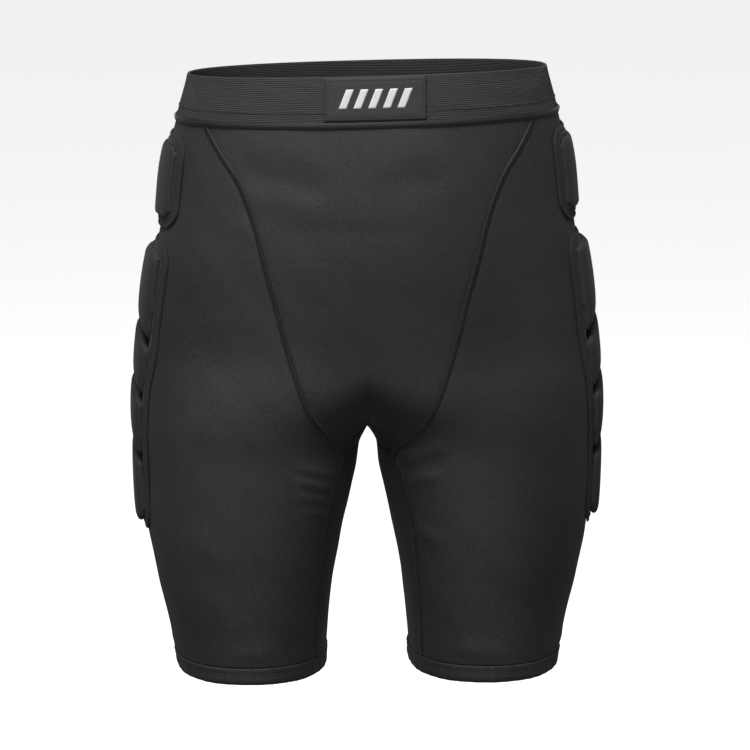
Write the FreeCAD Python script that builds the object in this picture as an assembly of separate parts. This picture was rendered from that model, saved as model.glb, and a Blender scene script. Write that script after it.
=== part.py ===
"""Padded impact shorts for skiing and snowboarding, modelled as worn.

Millimetres, +Z up. The origin is the centre of the waist opening at its top rim, the front faces -Y,
and the wearer's left side is +X. Every piece of cloth is a band or a cut-out of one smooth garment
surface, so the pieces follow each other when a size changes. The left half (+X) is built and mirrored.
"""

import math
import os

import FreeCAD
import Part
from FreeCAD import Vector

# ---------------------------------------------------------------- overall sizes
HEIGHT = 503.0                # waist rim to hem
WAIST_HALF_WIDTH = 147.0
WAIST_HALF_DEPTH = 104.0
HIP_HALF_WIDTH = 188.0        # widest cloth, level with the crotch
BELLY_DEPTH = 108.0           # front of the belly from the centre plane
SEAT_DEPTH = 128.0            # back of the seat from the centre plane
CROTCH_DROP = 301.0           # waist rim to crotch
HEM_HALF_WIDTH = 62.0
HEM_HALF_DEPTH = 75.0
LEG_CENTRE = 97.0             # hem centre from the centre plane
OVAL_POWER = 2.3              # 2 is an ellipse, more is squarer
RIM_RUN_ON = 11.5             # the outline runs on past the rim, and draws in by RIM_EASE
RIM_EASE = 0.5
HEM_RUN_ON = 8.0              # and past the hem, drawing in by HEM_EASE
HEM_EASE = 1.0
SEAM_WAIST_EASE = 1.03        # seam lines are laid out on a waist this much wider

# ---------------------------------------------------------------- cloth
CLOTH = 1.6                   # thickness of the stretch fabric
BAND_HEIGHT = 34.0            # waistband
BAND_THICKNESS = 2.0
HEM_HEIGHT = 15.0
SEAM_WIDTH = 4.4              # flatlock seam
SEAM_RISE = 0.8
SEAM_LIFT = 0.1               # clearance under anything sewn on top of the cloth
THREAD = 0.9                  # stitch row, across
JOIN_GAP = 0.3                # between neighbouring pieces
HEM_RISE = 0.9                # the folded hem stands this far out from the leg
HEM_ROWS = (2.5, 6.0)         # top of the hem to its stitch rows
TAPE_OVERLAP = 2.0            # edge tape, up over the waistband
TAPE_REACH = 3.0              # edge tape, down over the cloth
BAND_ROW = 9.0                # upper stitch row, above the waistband's lower edge
ROW_LIFT = 0.05               # clearance under a stitch row
ROW_RISE = 0.4                # thickness of a stitch row

# ---------------------------------------------------------------- hip joint
HIP_AXIS_Y = 3.0
HIP_AXIS_DROP = 230.0         # waist rim to hip axis
LEG_RADIUS = 122.0            # the stiff leg tube starts this far from the hip axis
PANEL_RADIUS = 116.0          # the body panels end this far from the hip axis, below it
SIDE_RADIUS = 104.0           # the side of the hips ends this far above the hip axis
SIDE_END = 12.0               # and at least this far above the level of the axis
LEG_START = 20.0              # the leg tube starts at least this far below the level of the axis
CROTCH_FRONT = -30.0          # the crotch piece runs from here to CROTCH_BACK
CROTCH_BACK = 35.0
CROTCH_TOP = 250.0            # above this depth there is no crotch piece
BODY_END = 270.0              # above this depth a body panel may lie outside PANEL_RADIUS

# ---------------------------------------------------------------- pads
PAD_CENTRE_Y = 4.0
PAD_CORNER = 15.0
FLANGE = 5.0                  # sewn border round the foam
BACKING = 1.2
FOAM = 8.0
GROOVE = 4.0                  # between foam blocks
BINDING_RISE = 1.6
PAD_LIFT = 0.3                # cloth to backing
PAD_LAYER_GAP = 0.1           # backing to foam and to binding
FOAM_CLEARANCE = 0.6          # foam to binding
UPPER_PAD_TOP = 54.0
UPPER_PAD_BOTTOM = 118.0
UPPER_PAD_HALF_WIDTH = 50.0
SIDE_PAD_TOP = 142.0
SIDE_PAD_GROOVES = (199.0, 245.0, 297.0)
SIDE_PAD_BOTTOM = 375.0
SIDE_PAD_HALF_TOP = 45.0
SIDE_PAD_HALF_BOTTOM = 34.0
CHEVRON_DROP = 22.0           # how far each groove falls from the middle to the edge
TAIL_PAD_TOP = 92.0
TAIL_PAD_GROOVES = (132.0, 170.0)
TAIL_PAD_BOTTOM = 212.0
TAIL_PAD_HALF_TOP = 58.0
TAIL_PAD_HALF_BOTTOM = 30.0

# ---------------------------------------------------------------- label
LABEL_WIDTH = 80.0
LABEL_TOP = 0.5               # waist rim to the label
LABEL_TAPE_GAP = 0.5          # label to the edge tape
LABEL_LIFT = 0.6              # clears the upper stitch row
LABEL_THICKNESS = 1.0
LABEL_OFFSET_X = 3.0
LABEL_MARGIN = 2.5            # label edge to its stitch row

FAR = 400.0                   # larger than the garment, for cutting blocks
ABOVE_RIM = 20.0              # cutting blocks start this far above the rim
BLOCK_SPREAD = 20.0           # chevron outlines run past the pad's edges by this much
BLOCK_OVER_TOP = 30.0
BLOCK_OVER_BOTTOM = 60.0
SECTION_POINTS = 28
LEG_SEAM_POINTS = 5           # how many points of a seam line lie below the crotch


def stations(offset):
    """Sections of the left half, top to bottom, grown outwards by offset.

    Each is (z, centre x, outer x, inner x, front y, back y). Down to the hip axis a section is the
    whole body oval; below it the inner edge comes in and crosses the centre plane at the crotch.
    """
    crotch = -CROTCH_DROP
    axis = -HIP_AXIS_DROP
    rise = axis - crotch
    thigh = HEIGHT - CROTCH_DROP
    hem_outer = LEG_CENTRE + HEM_HALF_WIDTH
    hem_inner = LEG_CENTRE - HEM_HALF_WIDTH
    hip = HIP_HALF_WIDTH
    sections = [
        (RIM_RUN_ON, 0.0, WAIST_HALF_WIDTH - RIM_EASE, RIM_EASE - WAIST_HALF_WIDTH,
         RIM_EASE - WAIST_HALF_DEPTH, WAIST_HALF_DEPTH - RIM_EASE, 0.0),
        (0.0, 0.0, WAIST_HALF_WIDTH, -WAIST_HALF_WIDTH, -WAIST_HALF_DEPTH, WAIST_HALF_DEPTH, 0.0),
    ]
    # shares of the axis depth, of the widening from waist to hip, of the belly and of the seat
    for share, widening, belly, seat in (
        (0.16, 0.23, 0.985, 0.86),
        (0.30, 0.39, 1.0, 0.905),
        (0.47, 0.51, 1.0, 0.955),
        (0.65, 0.67, 0.99, 0.995),
        (0.82, 0.81, 0.963, 1.0),
    ):
        width = WAIST_HALF_WIDTH + widening * (hip - WAIST_HALF_WIDTH)
        sections.append((share * axis, 0.0, width, -width, -belly * BELLY_DEPTH, seat * SEAT_DEPTH, 0.0))
    # depth, then shares of the hip's half width (centre, outer, inner), of the belly and of the seat,
    # and how far the section drops as the garment grows
    for z, centre, outer, inner, belly, seat, under in (
        (axis, 0.08, 0.981, -0.66, 0.93, 0.93, 0.3),
        (axis - 0.42 * rise, 0.30, 0.997, -0.27, 0.91, 0.83, 1.0),
        (axis - 0.77 * rise, 0.45, 1.0, -0.045, 0.875, 0.775, 1.0),
        (crotch, 0.50, 0.999, 0.016, 0.85, 0.745, 1.0),
        (crotch - 0.17 * thigh, 0.53, 0.994, 0.055, 0.82, 0.71, 0.0),
        (crotch - 0.37 * thigh, 0.545, 0.985, 0.103, 0.795, 0.68, 0.0),
        (crotch - 0.62 * thigh, 0.545, 0.937, 0.154, 0.755, 0.635, 0.0),
        (crotch - 0.83 * thigh, 0.533, 0.887, 0.178, 0.72, 0.605, 0.0),
    ):
        front, back = -belly * BELLY_DEPTH, seat * SEAT_DEPTH
        sections.append((z, centre * hip, outer * hip, inner * hip, front, back, under))
    sections.append((-HEIGHT, LEG_CENTRE, hem_outer, hem_inner, -HEM_HALF_DEPTH, HEM_HALF_DEPTH, 0.0))
    sections.append((-HEIGHT - HEM_RUN_ON, LEG_CENTRE, hem_outer - HEM_EASE, hem_inner + HEM_EASE,
                     HEM_EASE - HEM_HALF_DEPTH, HEM_HALF_DEPTH - HEM_EASE, 0.0))
    grown = []
    for z, centre, outer, inner, front, back, under in sections:
        level = z - under * offset
        grown.append((level, centre, outer + offset, inner - offset, front - offset, back + offset))
    return grown


def oval(station):
    """Closed smooth wire through one section."""
    z, centre, outer, inner, front, back = station
    points = []
    for step in range(SECTION_POINTS):
        angle = 2.0 * math.pi * step / SECTION_POINTS
        across = math.copysign(abs(math.cos(angle)) ** (2.0 / OVAL_POWER), math.cos(angle))
        along = math.copysign(abs(math.sin(angle)) ** (2.0 / OVAL_POWER), math.sin(angle))
        x = centre + across * (outer - centre if across > 0 else centre - inner)
        y = along * back if along > 0 else -along * front
        points.append(Vector(x, y, z))
    curve = Part.BSplineCurve()
    knots = [step / SECTION_POINTS for step in range(SECTION_POINTS + 1)]
    curve.interpolate(Points=points, PeriodicFlag=True, Parameters=knots)
    return Part.Wire([curve.toShape()])


GARMENTS = {}


def garment(offset):
    """Solid left half of the garment's outline, grown outwards by offset."""
    key = round(offset, 3)
    if key not in GARMENTS:
        solid = Part.makeLoft([oval(station) for station in stations(offset)], True, False)
        GARMENTS[key] = solid.common(left_block())
    return GARMENTS[key]


def block(x0, x1, y0, y1, z0, z1):
    """Axis-aligned box between the given bounds."""
    return Part.makeBox(x1 - x0, y1 - y0, z1 - z0, Vector(x0, y0, z0))


def left_block():
    return block(0.0, FAR, -FAR, FAR, -2.0 * FAR, FAR)


def between(top, bottom):
    """Everything between two depths below the waist rim."""
    return block(-FAR, FAR, -FAR, FAR, -bottom, -top)


def hip_cylinder(radius):
    """Cylinder about the hip axis, right across the garment."""
    base = Vector(-FAR, HIP_AXIS_Y, -HIP_AXIS_DROP)
    return Part.makeCylinder(radius, 2.0 * FAR, base, Vector(1, 0, 0))


def layer(cutter, inner, outer):
    """The part of the band between two offsets of the garment surface that lies in the cutter."""
    return cutter.common(garment(outer)).cut(garment(inner))


def both_halves(left):
    """A piece across the centre plane from its left half."""
    right = left.mirror(Vector(0, 0, 0), Vector(1, 0, 0))
    return left.fuse(right)


def whole_layer(cutter, inner, outer):
    """A layer right across the centre plane, for a cutter that spans it."""
    left = layer(cutter.common(left_block()), inner, outer)
    flipped = cutter.mirror(Vector(0, 0, 0), Vector(1, 0, 0)).common(left_block())
    right = layer(flipped, inner, outer).mirror(Vector(0, 0, 0), Vector(1, 0, 0))
    return left.fuse(right)


def solid_of(shape):
    """The largest solid of a cut, without crumbs."""
    return max(shape.Solids, key=lambda solid: solid.Volume)


# ---------------------------------------------------------------- seam lines
def front_seam_line(shift=0.0):
    """Front seam: from the waist in a V to the crotch, then down the inner thigh to the hem."""
    below = HEIGHT - CROTCH_DROP
    points = [
        (0.94, 0.0), (0.878, 0.116), (0.787, 0.20), (0.72, 0.249), (0.646, 0.332), (0.558, 0.498),
        (0.512, 0.581), (0.473, 0.664), (0.428, 0.748), (0.377, 0.831), (0.325, 0.897), (0.267, 0.947),
        (0.217, 0.98), (0.141, 1.022),
    ]
    wide = WAIST_HALF_WIDTH * SEAM_WAIST_EASE
    line = [(across * wide + shift, -down * CROTCH_DROP) for across, down in points]
    for across, down in ((0.40, 0.13), (0.52, 0.26), (0.63, 0.52), (0.69, 0.78), (0.72, 1.05)):
        line.append((across * HEM_HALF_WIDTH + shift, -CROTCH_DROP - down * below))
    return line


def back_seam_line(shift=0.0):
    """Back seam: from the waist round the seat to the crotch, then down the inner thigh."""
    points = [
        (0.76, 0.0), (0.79, 0.20), (0.79, 0.45), (0.72, 0.66), (0.58, 0.80), (0.36, 0.91), (0.22, 0.98),
        (0.141, 1.022),
    ]
    wide = WAIST_HALF_WIDTH * SEAM_WAIST_EASE
    line = [(across * wide + shift, -down * CROTCH_DROP) for across, down in points]
    return line + front_seam_line(shift)[-LEG_SEAM_POINTS:]


def inside_seam(line, y0, y1):
    """Prism of everything between the centre plane and a seam line."""
    curve = Part.BSplineCurve()
    curve.interpolate([Vector(x, y0, z) for x, z in line])
    top = Vector(line[0][0], y0, line[0][1])
    bottom = Vector(line[-1][0], y0, line[-1][1])
    sides = Part.makePolygon([bottom, Vector(-1, y0, bottom.z), Vector(-1, y0, top.z), top])
    face = Part.Face(Part.Wire([curve.toShape()] + sides.Edges))
    return face.extrude(Vector(0, y1 - y0, 0))


def seam_strip(line_maker, y0, y1):
    """Prism of the narrow strip that a flatlock seam covers."""
    wide = inside_seam(line_maker(SEAM_WIDTH / 2.0), y0, y1)
    return wide.cut(inside_seam(line_maker(-SEAM_WIDTH / 2.0), y0 - 1.0, y1 + 1.0))


# ---------------------------------------------------------------- regions of the cloth
def body_limit():
    """Where the panels of the hips may be, clear of the swinging legs."""
    return between(-ABOVE_RIM, BODY_END).fuse(hip_cylinder(PANEL_RADIUS))


def front_region(grow=0.0):
    prism = inside_seam(front_seam_line(grow - JOIN_GAP), -FAR, CROTCH_FRONT + grow)
    return prism.common(between(BAND_HEIGHT, HEIGHT))


def seat_region(grow=0.0):
    prism = inside_seam(back_seam_line(grow - JOIN_GAP), CROTCH_BACK - grow, FAR)
    return prism.common(between(BAND_HEIGHT, HEIGHT))


def crotch_region(grow=0.0):
    front = CROTCH_FRONT + JOIN_GAP - grow
    back = CROTCH_BACK - JOIN_GAP + grow
    prism = inside_seam(front_seam_line(grow - JOIN_GAP), front, back)
    return prism.common(between(CROTCH_TOP, HEIGHT))


def side_region(grow=0.0):
    """The side of the hips above the swing of the hip."""
    side = between(BAND_HEIGHT, HIP_AXIS_DROP - SIDE_END + grow).cut(hip_cylinder(SIDE_RADIUS - grow))
    side = side.cut(inside_seam(front_seam_line(), -FAR, 0.0))
    return side.cut(inside_seam(back_seam_line(), 0.0, FAR))


def leg_region(grow=0.0):
    """The stiff part of the leg tube."""
    return between(HIP_AXIS_DROP + LEG_START, HEIGHT - HEM_HEIGHT).cut(hip_cylinder(LEG_RADIUS - grow))


def inner_thigh(grow=0.0):
    return inside_seam(front_seam_line(grow), -FAR, FAR)


def cloth_pieces():
    """The panels of stretch fabric."""
    cloth = layer(between(BAND_HEIGHT + JOIN_GAP, HEIGHT), -CLOTH, 0.0)
    limit = body_limit()
    leg = leg_region()
    front = front_region().common(limit)
    seat = seat_region().common(limit)
    crotch = crotch_region().common(limit)
    side = side_region()
    pieces = {
        "front_panel": both_halves(solid_of(cloth.common(front))),
        "seat_panel": both_halves(solid_of(cloth.common(seat))),
        "crotch_gusset": both_halves(solid_of(cloth.common(crotch))),
        "left_hip_panel": solid_of(cloth.common(side)),
        "left_inner_gusset": solid_of(cloth.common(leg).common(inner_thigh(-JOIN_GAP))),
        "left_thigh_panel": solid_of(cloth.common(leg).cut(inner_thigh())),
    }
    flex = cloth
    wide_limit = between(-ABOVE_RIM, BODY_END + JOIN_GAP).fuse(hip_cylinder(PANEL_RADIUS + JOIN_GAP))
    for region in (front_region(JOIN_GAP).common(wide_limit), seat_region(JOIN_GAP).common(wide_limit),
                   crotch_region(JOIN_GAP).common(wide_limit), side_region(JOIN_GAP),
                   leg_region(JOIN_GAP), between(HEIGHT - HEM_HEIGHT - 1.0, HEIGHT)):
        flex = flex.cut(region)
    pieces["left_hip_flex_fabric"] = solid_of(flex)
    return pieces


def waist_pieces():
    """Elastic waistband, its lower edge tape, its stitch rows and the label."""
    elastic = layer(between(0.0, BAND_HEIGHT), -BAND_THICKNESS, 0.0)
    tape_rise = SEAM_LIFT + SEAM_RISE
    tape = layer(between(BAND_HEIGHT - TAPE_OVERLAP, BAND_HEIGHT + TAPE_REACH), SEAM_LIFT, tape_rise)
    upper = BAND_HEIGHT - BAND_ROW
    upper_row = layer(between(upper, upper + THREAD), SEAM_LIFT, SEAM_LIFT + ROW_RISE)
    row_base = tape_rise + ROW_LIFT
    lower_row = layer(between(BAND_HEIGHT, BAND_HEIGHT + THREAD), row_base, row_base + ROW_RISE)
    left = LABEL_OFFSET_X - LABEL_WIDTH / 2.0
    right = LABEL_OFFSET_X + LABEL_WIDTH / 2.0
    bottom = BAND_HEIGHT - TAPE_OVERLAP - LABEL_TAPE_GAP
    label_face = LABEL_LIFT + LABEL_THICKNESS
    row_inset = LABEL_MARGIN + THREAD

    def plate(inset, inner, outer):
        frame = block(left + inset, right - inset, -FAR, 0.0, inset - bottom, -LABEL_TOP - inset)
        return solid_of(whole_layer(frame, inner, outer))

    thread = plate(LABEL_MARGIN, label_face + ROW_LIFT, label_face + ROW_LIFT + ROW_RISE)
    hole = block(left + row_inset, right - row_inset, -FAR, 0.0, row_inset - bottom, -LABEL_TOP - row_inset)
    return {
        "waistband_elastic": both_halves(elastic),
        "waistband_edge_tape": both_halves(tape),
        "waistband_upper_stitching": both_halves(upper_row),
        "waistband_lower_stitching": both_halves(lower_row),
        "waist_label": plate(0.0, LABEL_LIFT, label_face),
        "waist_label_stitching": thread.cut(hole),
    }


def seam_pieces():
    """Raised flatlock seams, split where the leg starts."""
    low = SEAM_LIFT
    high = SEAM_LIFT + SEAM_RISE
    body = between(BAND_HEIGHT + TAPE_REACH + 1.0, HEIGHT).common(body_limit())
    leg = leg_region()
    front = seam_strip(front_seam_line, -FAR, CROTCH_FRONT)
    back = seam_strip(back_seam_line, CROTCH_BACK, FAR)
    pieces = {}
    for name, strip in (("front", front), ("back", back)):
        pieces["left_%s_seam" % name] = solid_of(layer(strip.common(body), low, high))
        near, far = (-FAR, 0.0) if name == "front" else (0.0, FAR)
        half = block(0.0, FAR, near, far, -HEIGHT, 0.0)
        inner = seam_strip(front_seam_line, -FAR, FAR).common(half).common(leg)
        pieces["left_inner_%s_seam" % name] = solid_of(layer(inner, low, high))
    return pieces


def hem_pieces():
    """Folded hem band and its twin stitch rows."""
    top = HEIGHT - HEM_HEIGHT
    fold = layer(between(top + JOIN_GAP, HEIGHT), -CLOTH, HEM_RISE)
    pieces = {"left_hem_band": solid_of(fold)}
    row_base = HEM_RISE + ROW_LIFT
    for name, down in zip(("upper", "lower"), HEM_ROWS):
        row = layer(between(top + down, top + down + THREAD), row_base, row_base + ROW_RISE)
        pieces["left_hem_%s_stitching" % name] = solid_of(row)
    return pieces


# ---------------------------------------------------------------- pads
def side_prism(points, corner=0.0):
    """Prism along X over an outline of (y, depth below the rim) on the left side."""
    wire = Part.makePolygon([Vector(0.5 * WAIST_HALF_WIDTH, y, -depth) for y, depth in points + points[:1]])
    prism = Part.Face(wire).extrude(Vector(FAR, 0, 0))
    return rounded(prism, corner, Vector(1, 0, 0))


def back_prism(points, corner=0.0):
    """Prism along Y over an outline of (x, depth below the rim) on the back."""
    wire = Part.makePolygon([Vector(x, 0.3 * SEAT_DEPTH, -depth) for x, depth in points + points[:1]])
    prism = Part.Face(wire).extrude(Vector(0, FAR, 0))
    return rounded(prism, corner, Vector(0, 1, 0))


def rounded(prism, corner, direction):
    """Round the edges of a prism that run along a direction."""
    if corner <= 0.0:
        return prism
    edges = []
    for edge in prism.Edges:
        run = (edge.Vertexes[1].Point - edge.Vertexes[0].Point).normalize()
        if abs(run.dot(direction)) > 0.99:
            edges.append(edge)
    return prism.makeFillet(corner, edges)


def taper(top, bottom, half_top, half_bottom, inset, centre):
    """Outline of a tapered pad, (across, depth) corners, moved inwards by inset."""
    return [
        (centre - half_top + inset, top + inset),
        (centre + half_top - inset, top + inset),
        (centre + half_bottom - inset, bottom - inset),
        (centre - half_bottom + inset, bottom - inset),
    ]


def chevron_bands(top, grooves, bottom, half_width, centre):
    """Outlines of stacked blocks with chevron grooves between them."""
    far = half_width + BLOCK_SPREAD
    fall = CHEVRON_DROP * far / half_width
    edges = [top - BLOCK_OVER_TOP] + list(grooves) + [bottom + BLOCK_OVER_BOTTOM]
    bands = []
    for index in range(len(edges) - 1):
        upper = edges[index] + (GROOVE / 2.0 if index else 0.0)
        lower = edges[index + 1] - (GROOVE / 2.0 if index < len(grooves) else 0.0)
        bands.append([
            (centre - far, upper + fall), (centre, upper), (centre + far, upper + fall),
            (centre + far, lower + fall), (centre, lower), (centre - far, lower + fall),
        ])
    return bands


def pad_pieces(name, prism_of, spot, grooves, skin):
    """Backing, foam blocks and stitched binding of one pad.

    spot is (top, bottom, half width at the top, half width at the bottom, centre).
    """
    top, bottom, half_top, half_bottom, centre = spot
    backing = PAD_LIFT + BACKING
    low = backing + PAD_LAYER_GAP
    high = low + FOAM
    whole = taper(top, bottom, half_top, half_bottom, -FLANGE, centre)
    inside = taper(top, bottom, half_top, half_bottom, 0.0, centre)
    foam = taper(top, bottom, half_top, half_bottom, FOAM_CLEARANCE, centre)
    outline = prism_of(whole, PAD_CORNER)
    hole = prism_of(inside, PAD_CORNER - FLANGE)
    foam_outline = prism_of(foam, PAD_CORNER - FLANGE - FOAM_CLEARANCE)
    pieces = {
        name + "_backing": solid_of(skin(outline, PAD_LIFT, backing)),
        name + "_binding": solid_of(skin(outline.cut(hole), low, low + BINDING_RISE)),
    }
    if not grooves:
        pieces[name + "_foam"] = solid_of(skin(foam_outline, low, high))
        return pieces
    for number, band in enumerate(chevron_bands(top, grooves, bottom, half_top, centre), 1):
        piece = foam_outline.common(prism_of(band))
        pieces["%s_foam_%d" % (name, number)] = solid_of(skin(piece, low, high))
    return pieces


def all_pads():
    upper = (UPPER_PAD_TOP, UPPER_PAD_BOTTOM, UPPER_PAD_HALF_WIDTH, UPPER_PAD_HALF_WIDTH, PAD_CENTRE_Y)
    side = (SIDE_PAD_TOP, SIDE_PAD_BOTTOM, SIDE_PAD_HALF_TOP, SIDE_PAD_HALF_BOTTOM, PAD_CENTRE_Y)
    tail = (TAIL_PAD_TOP, TAIL_PAD_BOTTOM, TAIL_PAD_HALF_TOP, TAIL_PAD_HALF_BOTTOM, 0.0)
    pieces = pad_pieces("left_upper_hip_pad", side_prism, upper, (), layer)
    pieces.update(pad_pieces("left_side_pad", side_prism, side, SIDE_PAD_GROOVES, layer))
    pieces.update(pad_pieces("tailbone_pad", back_prism, tail, TAIL_PAD_GROOVES, whole_layer))
    return pieces


def build():
    """Build every piece, mirror the left ones and write one file per piece."""
    pieces = {}
    for group in (waist_pieces, cloth_pieces, seam_pieces, hem_pieces, all_pads):
        pieces.update(group())
    for name in [name for name in pieces if name.startswith("left_")]:
        mirrored = pieces[name].mirror(Vector(0, 0, 0), Vector(1, 0, 0))
        pieces[name.replace("left_", "right_", 1)] = mirrored
    os.makedirs("parts", exist_ok=True)
    for name, shape in sorted(pieces.items()):
        solids = len(shape.Solids)
        print("%-34s %10.1f mm3  valid %s  solids %d" % (name, shape.Volume, shape.isValid(), solids))
        shape.exportStep("parts/%s.step" % name)


build()
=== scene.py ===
"""Padded impact shorts, as worn: the looks of every piece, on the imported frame.

Metres, +Z up, the front faces -Y and the wearer's left side is +X. One smooth garment form gives every
piece its place: cloth panels lie between the seam lines, and the pads, bands and threads lie on the form.
"""

import logging
import math
from dataclasses import dataclass, field
from enum import Enum

import bpy
import numpy as np
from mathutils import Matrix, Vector


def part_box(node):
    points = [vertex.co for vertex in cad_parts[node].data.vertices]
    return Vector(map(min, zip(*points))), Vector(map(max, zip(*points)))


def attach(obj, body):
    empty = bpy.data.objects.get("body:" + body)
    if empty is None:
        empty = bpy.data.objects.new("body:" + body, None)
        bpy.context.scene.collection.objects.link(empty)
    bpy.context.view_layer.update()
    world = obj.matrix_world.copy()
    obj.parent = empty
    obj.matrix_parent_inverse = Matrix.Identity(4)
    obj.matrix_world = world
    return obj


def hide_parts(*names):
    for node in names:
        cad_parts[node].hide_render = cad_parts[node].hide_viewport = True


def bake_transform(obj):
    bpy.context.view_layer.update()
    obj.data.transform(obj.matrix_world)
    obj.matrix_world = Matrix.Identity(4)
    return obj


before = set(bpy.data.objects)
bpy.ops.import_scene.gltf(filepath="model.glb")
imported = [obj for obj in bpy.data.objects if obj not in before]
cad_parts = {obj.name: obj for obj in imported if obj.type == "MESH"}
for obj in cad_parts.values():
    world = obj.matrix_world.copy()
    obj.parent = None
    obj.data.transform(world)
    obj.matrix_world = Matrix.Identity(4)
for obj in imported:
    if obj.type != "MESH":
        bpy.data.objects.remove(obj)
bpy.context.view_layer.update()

logging.basicConfig(level=logging.INFO, format="%(message)s")
LOG = logging.getLogger("shorts")


# ---------------------------------------------------------------------------------------------- form
def smooth_values(at: np.ndarray, keys: np.ndarray, values: np.ndarray) -> np.ndarray:
    """Smooth curve through values at falling or rising keys.

    Args:
        at: Places to read the curve at.
        keys: Rising places of the given values.
        values: Value at each key.

    Returns:
        The curve at each place, straight on past both ends.
    """
    slopes = np.gradient(values, keys)
    at = np.asarray(at, float)
    i = np.clip(np.searchsorted(keys, at) - 1, 0, len(keys) - 2)
    span = keys[i + 1] - keys[i]
    t = np.clip((at - keys[i]) / span, 0.0, 1.0)
    a, b = values[i], values[i + 1]
    ma, mb = slopes[i] * span, slopes[i + 1] * span
    return (a * (1 + 2 * t) * (1 - t) ** 2 + ma * t * (1 - t) ** 2
            + b * t * t * (3 - 2 * t) + mb * t * t * (t - 1))


@dataclass(frozen=True)
class Fold:
    """A soft ridge or crease on the cloth, along a line between two points."""

    start: tuple[float, float, float]
    end: tuple[float, float, float]
    width: float
    height: float

    def rise(self, points: np.ndarray) -> np.ndarray:
        """Height of the fold at each point."""
        a, b = np.array(self.start), np.array(self.end)
        run = b - a
        t = np.clip(((points - a) @ run) / (run @ run), 0.0, 1.0)
        away = np.linalg.norm(points - (a + t[..., None] * run), axis=-1)
        fade = np.clip(4.0 * t * (1.0 - t) + 0.12, 0.0, 1.0)
        return self.height * fade * np.exp(-((away / self.width) ** 2))


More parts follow.
